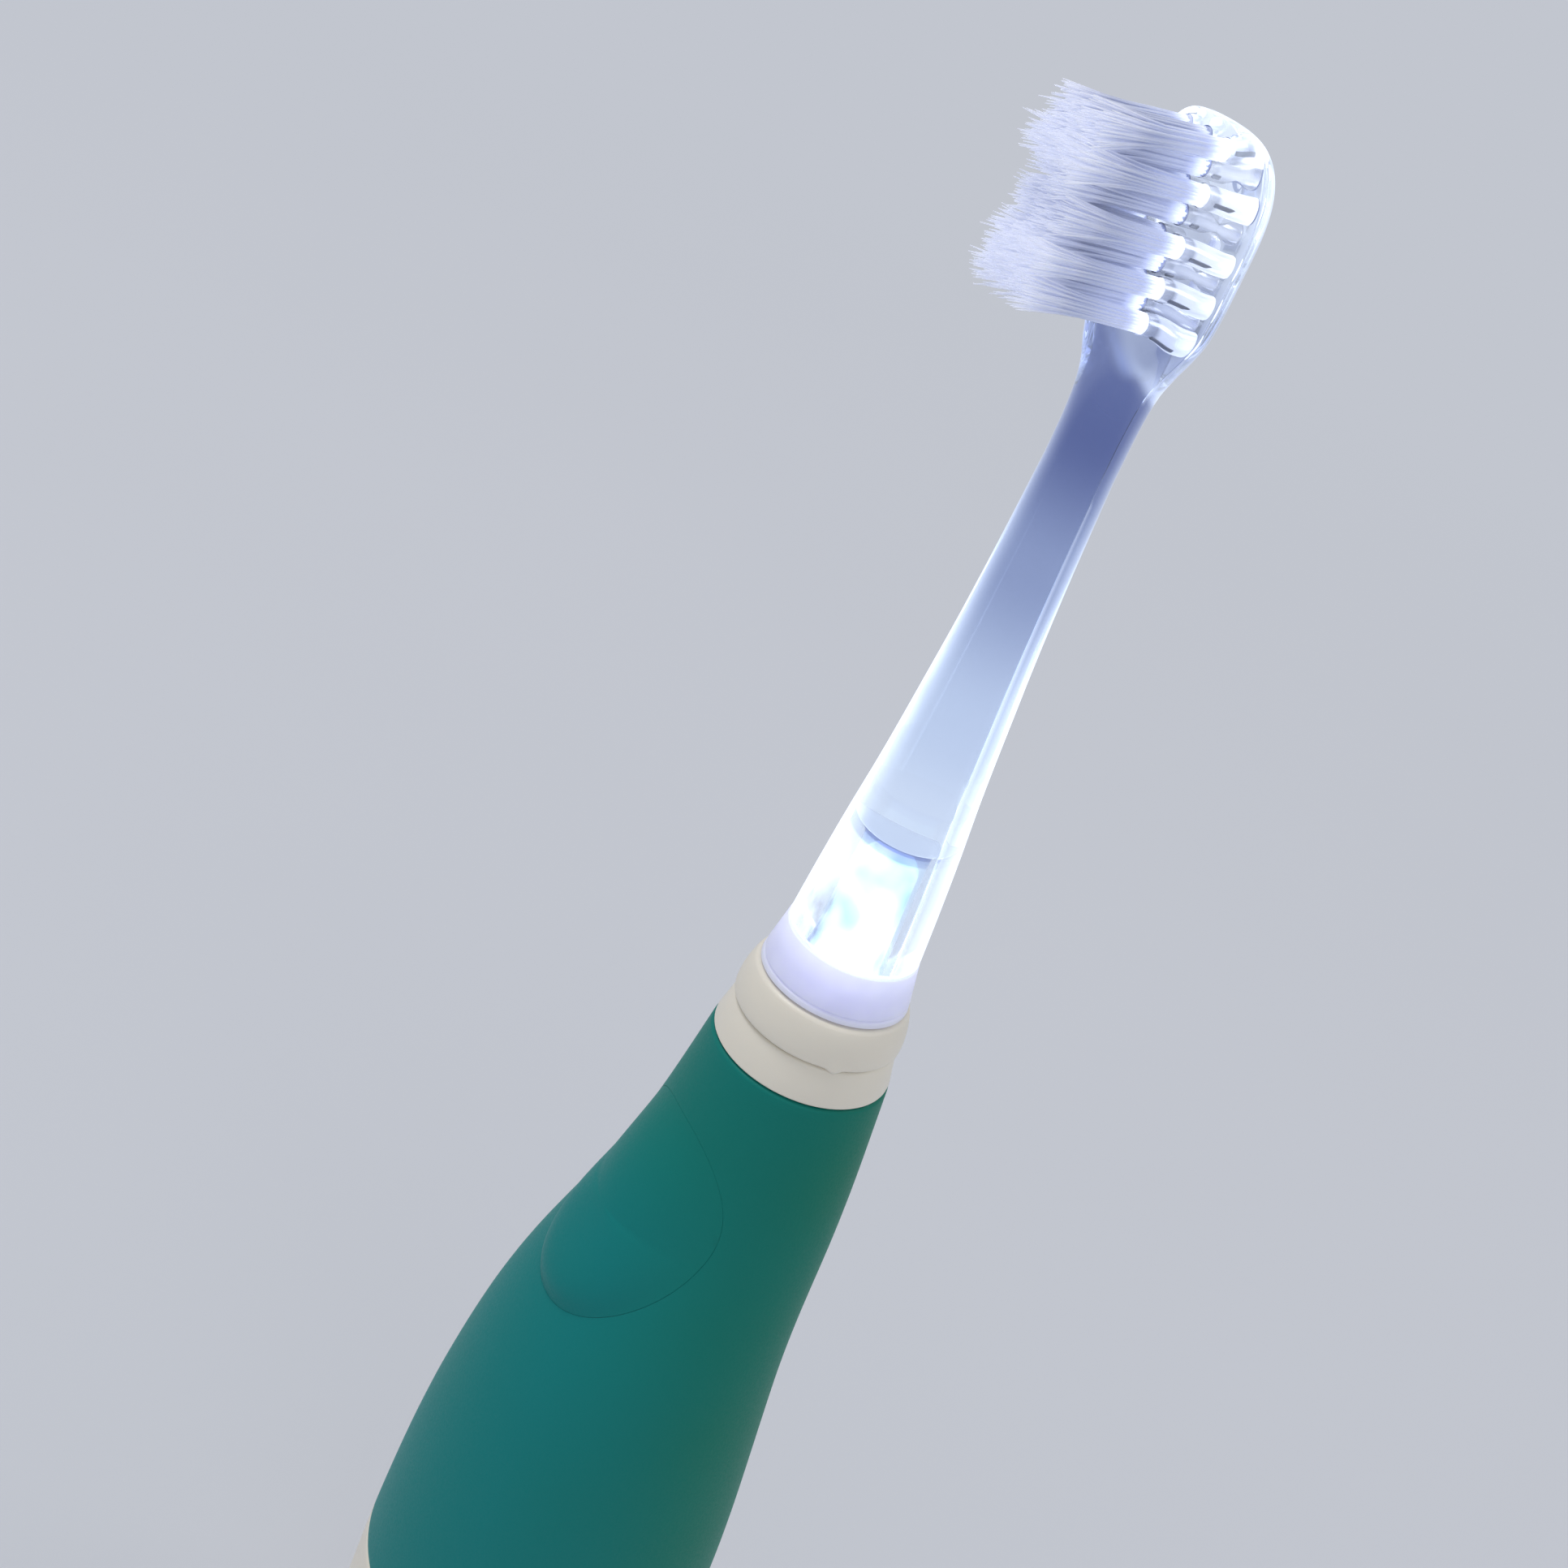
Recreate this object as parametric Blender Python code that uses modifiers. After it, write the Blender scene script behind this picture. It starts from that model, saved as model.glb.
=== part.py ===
"""A child's battery toothbrush: soft-grip handle, lit clear brush head, one AAA cell.

The brush stands upright on its foot. +Z runs up the neck, the bristles and the button face -Y,
and the origin is on the foot's face, under the neck. Lengths are in metres.
"""

import math

import bmesh
import bpy
from mathutils import Matrix, Vector

MM = 0.001

# Fits shared by all pieces
FIT_GAP = 0.3 * MM          # between two pieces that touch
CUT_OVERRUN = 1.0 * MM      # how far a cutter passes the face it cuts
WELD = 0.01 * MM

# Heights of the joints between the outer pieces, from the foot up
PAD_PROUD = 0.5 * MM        # the soft foot stands out of the cover by this much
COVER_HEIGHT = 28.3 * MM
GRIP_OVER_BOSS = 3.8 * MM       # from the top of the motor's cradle to the top of the grip
COLLAR_STEP_HEIGHT = 3.3 * MM
NOSE_STEP_HEIGHT = 3.5 * MM
HEAD_RING_GAP = 0.4 * MM    # running gap between the shaking head and the nose

# Outer radii
BELLY_RADIUS = 15.8 * MM
BELLY_SHIFT = 3.4 * MM      # how far the belly leans to the front
COLLAR_FOOT_RADIUS = 7.75 * MM
COLLAR_TOP_RADIUS = 7.0 * MM
NOSE_FOOT_RADIUS = 7.15 * MM
NOSE_TOP_RADIUS = 6.5 * MM

# Handle walls
GRIP_WALL = 1.3 * MM
BODY_WALL = 1.2 * MM
BODY_TOP_WALL = 1.0 * MM
BODY_TOP_STRAIGHT = 10.0 * MM   # straight bore at the top, for the nose cap's skirt
COVER_WALL = 1.8 * MM

# Battery cover
SPIGOT_LENGTH = 6.8 * MM
SPIGOT_WALL = 2.4 * MM
SPIGOT_SEAT_EXTRA = 2.0 * MM
COVER_FLOOR = 2.2 * MM
PAD_RADIUS = 10.5 * MM
PAD_THICKNESS = 1.5 * MM
RING_SECTION = 0.95 * MM        # thickness of the O-ring
RING_DROP = 3.6 * MM            # from the spigot's top to the O-ring

# Cell and its contacts
CELL_RADIUS = 5.25 * MM
CELL_LENGTH = 43.7 * MM
CELL_NUB_RADIUS = 1.9 * MM
CELL_NUB_LENGTH = 0.8 * MM
CELL_SHIFT = 2.9 * MM
CONTACT_THICKNESS = 0.4 * MM
CONTACT_RADIUS = 4.4 * MM
SPRING_HEIGHT = 4.2 * MM
SPRING_FOOT_RADIUS = 3.9 * MM
SPRING_TOP_RADIUS = 2.6 * MM
SPRING_WIRE = 0.5 * MM
SPRING_TURNS = 4
TUBE_PLAY = 0.45 * MM           # the cell's play in its tube
TUBE_WALL = 1.2 * MM
TUBE_LIFT = 4.5 * MM            # the tube starts this far above the cell's foot
END_PLATE = 2.0 * MM
STRIP_WIDTH = 3.0 * MM
TAB_WIDTH = 2.0 * MM
TAB_FORWARD = 2.2 * MM          # the positive tab stands this far in front of the cell's axis
BLADE_RISE = 16.5 * MM

# Motor and what shakes with it
MOTOR_RADIUS = 4.0 * MM
MOTOR_LENGTH = 15.7 * MM
MOTOR_LIFT = 5.0 * MM           # above the board's foot
MOTOR_CAP_LENGTH = 1.1 * MM
MOTOR_SHAFT_RADIUS = 0.75 * MM
MOTOR_SHAFT_LENGTH = 6.0 * MM
MOTOR_COLLAR_RADIUS = 1.6 * MM
TERMINAL_WIDTH = 1.2 * MM
TERMINAL_THICKNESS = 0.4 * MM
TERMINAL_LENGTH = 1.7 * MM
TERMINAL_SPREAD = 2.2 * MM
WEIGHT_RADIUS = 3.6 * MM
WEIGHT_HUB_RADIUS = 1.95 * MM
WEIGHT_HEIGHT = 4.2 * MM
WEIGHT_LIFT = 1.2 * MM
CRADLE_WALL = 0.8 * MM
CRADLE_TOP_PLATE = 1.6 * MM
CRADLE_BOSS_WALL = 1.0 * MM
CRADLE_BOSS_HEIGHT = 2.6 * MM
STEM_RADIUS = 1.3 * MM
STEM_BORE_RADIUS = 0.8 * MM
STEM_IN_POST = 2.2 * MM

# Lamp post, on which the head is pushed
POST_FOOT_LIFT = 0.8 * MM       # the post starts this far above the nose
POST_LENGTH = 12.2 * MM
POST_WALL = 0.9 * MM
POST_TIP_WALL = 3.2 * MM
LAMP_RADIUS = 1.5 * MM
LAMP_BASE_LENGTH = 3.2 * MM
LEAD_RADIUS = 0.18 * MM
LEAD_SPREAD = 0.36 * MM

# Nose cap and seal
SKIRT_WALL = 0.7 * MM
SKIRT_LENGTH = 6.0 * MM
SEAL_RIM_WALL = 0.7 * MM
SEAL_HUB_WALL = 0.7 * MM
SEAL_HEIGHT = 5.6 * MM
SEAL_DROP = 0.9 * MM            # from the nose's top to the seal's
SEAL_WEB = 1.4 * MM

# Board and switch
BOARD_WIDTH = 6.8 * MM
BOARD_THICKNESS = 0.8 * MM
BOARD_OVER_SWITCH = 3.8 * MM    # how far the board reaches over the switch's middle
BOARD_FORWARD = 5.8 * MM        # the board's back face, in front of the neck's axis
SWITCH_LIFT = 14.2 * MM         # above the board's foot
SWITCH_WIDTH = 4.0 * MM
SWITCH_DEPTH = 1.5 * MM
SWITCH_STEM_RADIUS = 0.8 * MM
SWITCH_STEM_PROUD = 0.9 * MM
SWITCH_STEM_DEPTH = 0.5 * MM    # how deep the stem's pocket goes into the switch
CHIP_WIDTH = 3.0 * MM
CHIP_DEPTH = 0.9 * MM
CHIP_LIFT = 6.5 * MM
SMALL_CHIP_WIDTH = 1.2 * MM
SMALL_CHIP_DEPTH = 0.6 * MM
SMALL_CHIP_LIFT = 3.2 * MM
SMALL_CHIP_SPREAD = 1.8 * MM
RAIL_WALL = 0.9 * MM
RAIL_GRIP = 0.6 * MM            # how far a rail reaches over the board's edge
RAIL_HEIGHT = 9.5 * MM
WIRE_RADIUS = 0.35 * MM

# Power button
BUTTON_RISE = 4.7 * MM          # its middle above the switch
BUTTON_HALF_WIDTH = 8.0 * MM
BUTTON_HALF_LENGTH = 9.9 * MM
BUTTON_DOME = 1.6 * MM
BUTTON_SEAM = 0.35 * MM
BUTTON_TRAVEL = 0.6 * MM        # full press, with the fit gap left behind it
PLUNGER_RADIUS = 1.3 * MM
PLUNGER_CLEARANCE = 0.5 * MM
PLUNGER_STAND_OFF = 0.5 * MM    # free travel before it meets the switch stem

# Brush head
RING_HEIGHT = 3.9 * MM
RING_TOP_RADIUS = 5.62 * MM
RING_WALL = 0.45 * MM
SOCKET_WALL = 1.5 * MM
SOCKET_DEPTH = 13.9 * MM
SOCKET_TAPER = 0.6 * MM
NECK_FOOT_LIFT = 0.4 * MM
NECK_LENGTH = 41.6 * MM         # from the ring to where the head flares out
NECK_FOOT_RADIUS = 5.55 * MM
NECK_TOP_RADIUS = 2.65 * MM
HEAD_LENGTH = 24.9 * MM
HEAD_WIDTH = 10.5 * MM
HEAD_FRONT = 2.6 * MM
HEAD_BACK = 3.0 * MM

# Bristles
COLUMN_PITCH = 2.2 * MM
TUFT_RADIUS = 0.72 * MM
TUFT_HOLE_RADIUS = 0.8 * MM
FIELD_MARGIN = 0.15 * MM        # beyond the first and last row
FIELD_INSET = 0.7 * MM          # from the side of the head
FIELD_THICKNESS = 0.5 * MM
FIELD_RECESS = 0.15 * MM        # the field's face lies this far behind the head's
BRISTLE_LENGTH = 10.2 * MM
BRISTLE_RADIUS = 0.13 * MM
BRISTLE_SINK = 0.2 * MM
BRISTLE_JAG = 0.45 * MM

# Counts
HANDLE_SIDES = 32
NECK_SIDES = 28
ROUND_SIDES = 24
SMALL_SIDES = 12
O_RING_SIDES = 6
FIELD_SIDES = 48
SHARP_ANGLE = 40            # degrees
TUFT_SIDES = 6
STRAND_SIDES = 3
BODY_LEVELS = 12            # rings along each wall of the handle's body
GRIP_LEVELS = 12
COVER_LEVELS = 6
SPRING_STEPS = 10           # points in each turn
BRISTLES_PER_TUFT = 14
TUFTS_IN_ROWS = (3, 2, 3, 2, 3, 2, 3, 2, 3)

# Outline of the handle: height share of the grip's top, radius share from collar to belly,
# and share of the belly's forward shift
HANDLE_SHARES = (
    (0.00, 0.70, 0.80),
    (0.04, 0.87, 0.82),
    (0.12, 0.97, 0.85),
    (0.27, 1.00, 0.88),
    (0.43, 0.945, 0.93),
    (0.54, 0.82, 1.00),
    (0.65, 0.645, 0.97),
    (0.72, 0.49, 0.76),
    (0.79, 0.33, 0.36),
    (0.87, 0.19, 0.08),
    (1.00, 0.00, 0.00),
)
# Taper of the neck: height share, radius share from its top to its foot
NECK_SHARES = (
    (0.00, 1.00),
    (0.12, 0.87),
    (0.24, 0.72),
    (0.37, 0.53),
    (0.53, 0.35),
    (0.68, 0.20),
    (0.84, 0.085),
    (1.00, 0.00),
)
# Flare of the head: length share, share of the growth from neck to head, flatness of its face
FLARE_SHARES = (
    (0.10, 0.00, 0.00),
    (0.19, 0.03, 0.05),
    (0.27, 0.13, 0.25),
    (0.34, 0.38, 0.80),
    (0.41, 0.70, 1.00),
    (0.48, 0.93, 1.00),
    (0.58, 1.00, 1.00),
    (0.70, 1.00, 1.00),
)
# Rounded tip of the head: length share, then shares of its width, front and back
TIP_SHARES = (
    (0.81, 0.99, 1.00, 0.95),
    (0.88, 0.95, 1.00, 0.80),
    (0.94, 0.83, 1.00, 0.52),
    (0.98, 0.60, 0.96, 0.16),
    (1.00, 0.30, 0.86, -0.20),
)
BUTTON_RING_SHARES = (1.0, 0.93, 0.78, 0.56, 0.3)   # from the rim of the button inwards
TUFT_DEPTH_SHARE = 0.38     # of the head's back, where a tuft's hole ends
FIRST_ROW_SHARE = 0.446     # of the head's length, from its foot
LAST_ROW_SHARE = 0.936
HEAD_FRONT_POWER = 5.0
HEAD_BACK_POWER = 2.2
DOME_POWER = 1.6
BUTTON_POWER = 2.2
TUFT_FAN_SHARE = 1.15       # spread of a tuft's tips over its roots
FIELD_POWER = 16.0          # how square the ends of the bristle field are
BLADE_INSET_SHARE = 0.1      # of the contact's thickness, where blade and disc join
HALF = 0.5

# Heights worked out from the sizes above, from the foot up: first what stands in the handle
PAD_TOP = PAD_THICKNESS
FLOOR_FOOT = PAD_TOP + FIT_GAP
FLOOR_TOP = FLOOR_FOOT + COVER_FLOOR
CONTACT_FOOT = FLOOR_TOP + FIT_GAP
CONTACT_TOP = CONTACT_FOOT + CONTACT_THICKNESS
CELL_FOOT = CONTACT_TOP + FIT_GAP + SPRING_HEIGHT + FIT_GAP
CELL_TOP = CELL_FOOT + CELL_LENGTH
NUB_TOP = CELL_TOP + CELL_NUB_LENGTH
POSITIVE_FOOT = NUB_TOP + FIT_GAP
POSITIVE_TOP = POSITIVE_FOOT + CONTACT_THICKNESS
PLATE_FOOT = POSITIVE_TOP + FIT_GAP
PLATE_TOP = PLATE_FOOT + END_PLATE
BOARD_FOOT = PLATE_TOP + FIT_GAP
BOARD_LENGTH = SWITCH_LIFT + BOARD_OVER_SWITCH
SWITCH_HEIGHT = BOARD_FOOT + SWITCH_LIFT
BUTTON_HEIGHT = SWITCH_HEIGHT + BUTTON_RISE
MOTOR_FOOT = BOARD_FOOT + MOTOR_LIFT
MOTOR_TOP = MOTOR_FOOT + MOTOR_LENGTH
SHAFT_TOP = MOTOR_TOP + MOTOR_SHAFT_LENGTH
CAP_FOOT = MOTOR_FOOT - FIT_GAP - MOTOR_CAP_LENGTH
CRADLE_ROOF = SHAFT_TOP + 2 * FIT_GAP
CRADLE_TOP = CRADLE_ROOF + CRADLE_TOP_PLATE
STEM_FOOT = CRADLE_TOP + FIT_GAP
BOSS_TOP = CRADLE_TOP + CRADLE_BOSS_HEIGHT

# Then the joints of the outer pieces
GRIP_FOOT = COVER_HEIGHT + FIT_GAP
SPIGOT_TOP = COVER_HEIGHT + SPIGOT_LENGTH
GRIP_TOP = BOSS_TOP + GRIP_OVER_BOSS
COLLAR_FOOT = GRIP_TOP + FIT_GAP
COLLAR_TOP = COLLAR_FOOT + COLLAR_STEP_HEIGHT
NOSE_TOP = COLLAR_TOP + FIT_GAP + NOSE_STEP_HEIGHT
ROCK_HEIGHT = NOSE_TOP - SEAL_DROP - SEAL_HEIGHT * HALF
RING_FOOT = NOSE_TOP + HEAD_RING_GAP
RING_TOP = RING_FOOT + RING_HEIGHT
NECK_FOOT = RING_TOP + FIT_GAP
HEAD_FOOT = NECK_FOOT + NECK_LENGTH
FIRST_ROW = HEAD_FOOT + HEAD_LENGTH * FIRST_ROW_SHARE
LAST_ROW = HEAD_FOOT + HEAD_LENGTH * LAST_ROW_SHARE

# The lamp post and the socket that takes it
POST_FOOT = NOSE_TOP + POST_FOOT_LIFT
STEM_TOP = POST_FOOT + STEM_IN_POST
LAMP_FOOT = STEM_TOP + 2 * FIT_GAP
POST_TOP = POST_FOOT + POST_LENGTH
SPIGOT_NECK_FOOT = RING_FOOT + NECK_FOOT_LIFT
SOCKET_TOP = SPIGOT_NECK_FOOT + SOCKET_DEPTH

# Walls and depths worked out from the sizes above
CRADLE_BORE = MOTOR_RADIUS + FIT_GAP
CRADLE_RADIUS = CRADLE_BORE + CRADLE_WALL
TUBE_RADIUS = CELL_RADIUS + TUBE_PLAY + TUBE_WALL
BUTTON_WALL = GRIP_WALL - BUTTON_TRAVEL
BOARD_BACK = -BOARD_FORWARD
BOARD_FACE = BOARD_BACK - BOARD_THICKNESS

PARTS = "electric_toothbrush"
CUTTERS = "cutters"
SIDES = (("left", -1), ("right", 1))


def clear_scene():
    for old in list(bpy.data.objects):
        bpy.data.objects.remove(old)


def collection(name):
    found = bpy.data.collections.get(name)
    if found is None:
        found = bpy.data.collections.new(name)
        bpy.context.scene.collection.children.link(found)
    return found


def plain_material(name, color, roughness, metallic):
    """One surface: its colour, roughness and metallic value."""
    material = bpy.data.materials.new(name)
    material.use_nodes = True
    shader = material.node_tree.nodes["Principled BSDF"]
    shader.inputs["Base Color"].default_value = (*color, 1.0)
    shader.inputs["Roughness"].default_value = roughness
    shader.inputs["Metallic"].default_value = metallic
    material.diffuse_color = (*color, 1.0)
    return material


def pivot(name, place):
    """An empty on a joint's axis, for the pieces that move with it."""
    empty = bpy.data.objects.new(name, None)
    empty.location = place
    empty.empty_display_size = FIT_GAP
    collection(PARTS).objects.link(empty)
    return empty


def hold(piece, parent):
    """Hang a piece that stands in its place on a pivot, without moving it."""
    if parent is not None:
        piece.parent = parent
        piece.location = piece.location - parent.location
    return piece


def piece_from(name, shape, material, parent=None, smooth=True):
    """Make a bmesh an object of the part."""
    bmesh.ops.recalc_face_normals(shape, faces=shape.faces)
    mesh = bpy.data.meshes.new(name)
    shape.to_mesh(mesh)
    shape.free()
    if smooth:
        mesh.shade_smooth()
        mesh.set_sharp_from_angle(angle=math.radians(SHARP_ANGLE))
    piece = bpy.data.objects.new(name, mesh)
    if material is None:
        piece.hide_render = True
        piece.display_type = "WIRE"
        collection(CUTTERS).objects.link(piece)
    else:
        mesh.materials.append(material)
        collection(PARTS).objects.link(piece)
    return hold(piece, parent)


def boolean(piece, other, operation):
    step = piece.modifiers.new(operation.lower() + "_" + other.name, "BOOLEAN")
    step.operation = operation
    step.solver = "EXACT"
    step.object = other
    return piece


def cut(piece, cutter):
    return boolean(piece, cutter, "DIFFERENCE")


def join(piece, other):
    return boolean(piece, other, "UNION")


def box(name, low, high, material, parent=None):
    low, high = Vector(low), Vector(high)
    shape = bmesh.new()
    bmesh.ops.create_cube(shape, size=1)
    bmesh.ops.scale(shape, vec=high - low, verts=shape.verts)
    bmesh.ops.translate(shape, vec=(low + high) * HALF, verts=shape.verts)
    return piece_from(name, shape, material, parent, smooth=False)


def add_rod(shape, start, end, radius, sides, end_radius=None):
    """Add a round or pointed rod from start to end to a bmesh."""
    start, end = Vector(start), Vector(end)
    run = end - start
    turn = run.to_track_quat("Z", "Y").to_matrix().to_4x4()
    place = Matrix.Translation((start + end) * HALF) @ turn
    bmesh.ops.create_cone(
        shape, cap_ends=True, segments=sides, radius1=radius,
        radius2=radius if end_radius is None else end_radius,
        depth=run.length, matrix=place)


def rod(name, start, end, radius, sides, material, parent=None):
    shape = bmesh.new()
    add_rod(shape, start, end, radius, sides)
    return piece_from(name, shape, material, parent)


def turned(name, outline, material, parent=None, centre=(0, 0), closed=False, sides=ROUND_SIDES):
    """Turn an outline of (radius, height) points about a vertical axis through centre.

    The outline runs down its outer side. An open one starts and ends on the axis.
    """
    shape = bmesh.new()
    points = [shape.verts.new((radius, 0, height)) for radius, height in outline]
    for first, second in zip(points, points[1:]):
        shape.edges.new((first, second))
    if closed:
        shape.edges.new((points[-1], points[0]))
    mesh = bpy.data.meshes.new(name)
    shape.to_mesh(mesh)
    shape.free()
    piece = bpy.data.objects.new(name, mesh)
    piece.location = (centre[0], centre[1], 0)
    screw = piece.modifiers.new("turn", "SCREW")
    screw.steps = sides
    screw.render_steps = sides
    screw.use_merge_vertices = True
    screw.merge_threshold = WELD
    screw.use_smooth_shade = False
    if material is None:
        piece.hide_render = True
        piece.display_type = "WIRE"
        collection(CUTTERS).objects.link(piece)
    else:
        mesh.materials.append(material)
        collection(PARTS).objects.link(piece)
    return hold(piece, parent)


def lofted(name, rings, material, parent=None, closed=False):
    """Join rings of equal count by quads. An open loft is capped at both ends."""
    shape = bmesh.new()
    loops = [[shape.verts.new(point) for point in ring] for ring in rings]
    pairs = list(zip(loops, loops[1:]))
    if closed:
        pairs.append((loops[-1], loops[0]))
    for lower, upper in pairs:
        for index in range(len(lower)):
            following = (index + 1) % len(lower)
            shape.faces.new((lower[index], lower[following], upper[following], upper[index]))
    if not closed:
        shape.faces.new(loops[0])
        shape.faces.new(loops[-1])
    return piece_from(name, shape, material, parent)


def plate(name, outline, direction, material, parent=None):
    """Push a flat outline along a direction."""
    shape = bmesh.new()
    face = shape.faces.new([shape.verts.new(point) for point in outline])
    pushed = bmesh.ops.extrude_face_region(shape, geom=[face])
    moved = [part for part in pushed["geom"] if isinstance(part, bmesh.types.BMVert)]
    bmesh.ops.translate(shape, vec=direction, verts=moved)
    return piece_from(name, shape, material, parent)


def wire(name, points, radius, material, parent=None, resolution=1, end_radius=None):
    """A round wire along a row of points, as one closed mesh."""
    curve = bpy.data.curves.new(name, "CURVE")
    curve.dimensions = "3D"
    curve.bevel_depth = radius
    curve.bevel_resolution = resolution
    curve.use_fill_caps = True
    spline = curve.splines.new("POLY")
    spline.points.add(len(points) - 1)
    for control, point in zip(spline.points, points):
        control.co = (*point, 1)
    guide = bpy.data.objects.new(name + "_guide", curve)
    bpy.context.scene.collection.objects.link(guide)
    depsgraph = bpy.context.evaluated_depsgraph_get()
    mesh = bpy.data.meshes.new_from_object(guide.evaluated_get(depsgraph))
    bpy.data.objects.remove(guide)
    shape = bmesh.new()
    shape.from_mesh(mesh)
    bpy.data.meshes.remove(mesh)
    bmesh.ops.remove_doubles(shape, verts=shape.verts, dist=WELD)
    return piece_from(name, shape, material, parent)


def smooth_through(rows, share, column):
    """Value of a table of shares at one share, on a curve that never overshoots its points."""
    places = [row[0] for row in rows]
    values = [row[column] for row in rows]
    share = min(max(share, places[0]), places[-1])
    index = 0
    while index < len(places) - 2 and share > places[index + 1]:
        index += 1
    slopes = []
    for at in (index, index + 1):
        if at == 0 or at == len(places) - 1:
            near = 0 if at == 0 else at - 1
            slopes.append((values[near + 1] - values[near]) / (places[near + 1] - places[near]))
            continue
        before = (values[at] - values[at - 1]) / (places[at] - places[at - 1])
        after = (values[at + 1] - values[at]) / (places[at + 1] - places[at])
        slopes.append(0 if before * after <= 0 else 2 * before * after / (before + after))
    width = places[index + 1] - places[index]
    t = (share - places[index]) / width
    return (values[index] * (1 + 2 * t) * (1 - t) ** 2 + values[index + 1] * t * t * (3 - 2 * t)
            + slopes[0] * width * t * (1 - t) ** 2 - slopes[1] * width * t * t * (1 - t))


def handle_radius(height):
    share = smooth_through(HANDLE_SHARES, height / COLLAR_FOOT, 1)
    return COLLAR_FOOT_RADIUS + (BELLY_RADIUS - COLLAR_FOOT_RADIUS) * share


def handle_shift(height):
    return -BELLY_SHIFT * smooth_through(HANDLE_SHARES, height / COLLAR_FOOT, 2)


def circle(radius, height, shift=0, sides=HANDLE_SIDES):
    """One level ring, its first point at +X."""
    turn = 2 * math.pi / sides
    return [(radius * math.cos(turn * step), shift + radius * math.sin(turn * step), height)
            for step in range(sides)]


def skin(height, inset=0):
    """One ring of the handle's outside, drawn in by inset."""
    return circle(handle_radius(height) - inset, height, handle_shift(height))


def levels(low, high, count):
    return [low + (high - low) * step / count for step in range(count + 1)]


def front_skin(x, height):
    """How far forward the handle's outside lies at x, as a Y value."""
    return handle_shift(height) - math.sqrt(handle_radius(height) ** 2 - x ** 2)


def body_bore(height):
    """Radius of the handle body's bore: it follows the skin, and is straight at the top."""
    wall = GRIP_WALL + FIT_GAP + BODY_WALL
    return max(handle_radius(height) - wall, nose_bore())


def nose_bore():
    return COLLAR_FOOT_RADIUS - GRIP_WALL - FIT_GAP - BODY_TOP_WALL


def spigot_seat():
    """Radius and shift of the straight seat at the foot of the body, for the cover's spigot."""
    wall = GRIP_WALL + FIT_GAP + BODY_WALL
    seat_top = SPIGOT_TOP + SPIGOT_SEAT_EXTRA
    return handle_radius(seat_top) - wall, handle_shift(COVER_HEIGHT)


def make_handle_body(material):
    seat_radius, seat_shift = spigot_seat()
    seat_top = SPIGOT_TOP + SPIGOT_SEAT_EXTRA
    outer = [skin(height, GRIP_WALL + FIT_GAP) for height in levels(GRIP_FOOT, COLLAR_FOOT, BODY_LEVELS)]
    collar = [circle(COLLAR_FOOT_RADIUS, COLLAR_FOOT), circle(COLLAR_TOP_RADIUS, COLLAR_TOP)]
    straight_foot = COLLAR_TOP - BODY_TOP_STRAIGHT
    bore = [circle(nose_bore(), COLLAR_TOP)]
    for height in reversed(levels(seat_top + CUT_OVERRUN, straight_foot, BODY_LEVELS)):
        bore.append(circle(body_bore(height), height, handle_shift(height)))
    bore.append(circle(seat_radius, seat_top, seat_shift))
    bore.append(circle(seat_radius, GRIP_FOOT, seat_shift))
    body = lofted("handle_body", outer + collar + bore, material, closed=True)
    window = rod("plunger_window",
                 (0, front_skin(0, SWITCH_HEIGHT) - CUT_OVERRUN, SWITCH_HEIGHT),
                 (0, BOARD_FACE, SWITCH_HEIGHT),
                 PLUNGER_RADIUS + PLUNGER_CLEARANCE, SMALL_SIDES, None)
    return cut(body, window)


def button_outline(grow, depth):
    """The button's oval, seen from the front, at one depth."""
    turn = 2 * math.pi / HANDLE_SIDES
    outline = []
    for step in range(HANDLE_SIDES):
        across, up = math.cos(turn * step), math.sin(turn * step)
        reach = 1 / (abs(across) ** BUTTON_POWER + abs(up) ** BUTTON_POWER) ** (1 / BUTTON_POWER)
        outline.append(((BUTTON_HALF_WIDTH + grow) * reach * across, depth,
                        BUTTON_HEIGHT + (BUTTON_HALF_LENGTH + grow) * reach * up))
    return outline


def make_grip_sleeve(material):
    heights = levels(GRIP_FOOT, GRIP_TOP, GRIP_LEVELS)
    outer = [skin(height) for height in heights]
    inner = [skin(height, GRIP_WALL) for height in reversed(heights)]
    sleeve = lofted("grip_sleeve", outer + inner, material, closed=True)
    depth = BELLY_RADIUS + BELLY_SHIFT + CUT_OVERRUN
    hole = plate("button_hole", button_outline(BUTTON_SEAM, -depth), (0, depth, 0), None)
    return cut(sleeve, hole)


def make_power_button(material, parent):
    """A domed oval pad that carries on the grip's surface."""
    front = []
    back = []
    for share in BUTTON_RING_SHARES:
        dome = BUTTON_DOME * (1 - share ** 2) ** DOME_POWER
        front_ring = []
        back_ring = []
        for x, _, height in button_outline(0, 0):
            x = x * share
            height = BUTTON_HEIGHT + (height - BUTTON_HEIGHT) * share
            face = front_skin(x, height)
            front_ring.append((x, face - dome, height))
            back_ring.append((x, face + BUTTON_WALL, height))
        front.append(front_ring)
        back.append(back_ring)
    rings = list(reversed(front)) + back
    return lofted("power_button", rings, material, parent)


def make_button_plunger(material, parent):
    """A stiff peg behind the button that presses the switch."""
    face = front_skin(0, SWITCH_HEIGHT + PLUNGER_RADIUS) + BUTTON_WALL + FIT_GAP
    tip = BOARD_FACE - SWITCH_DEPTH - SWITCH_STEM_PROUD - PLUNGER_STAND_OFF
    return rod("button_plunger", (0, face, SWITCH_HEIGHT), (0, tip, SWITCH_HEIGHT),
               PLUNGER_RADIUS, SMALL_SIDES, material, parent)


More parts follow.
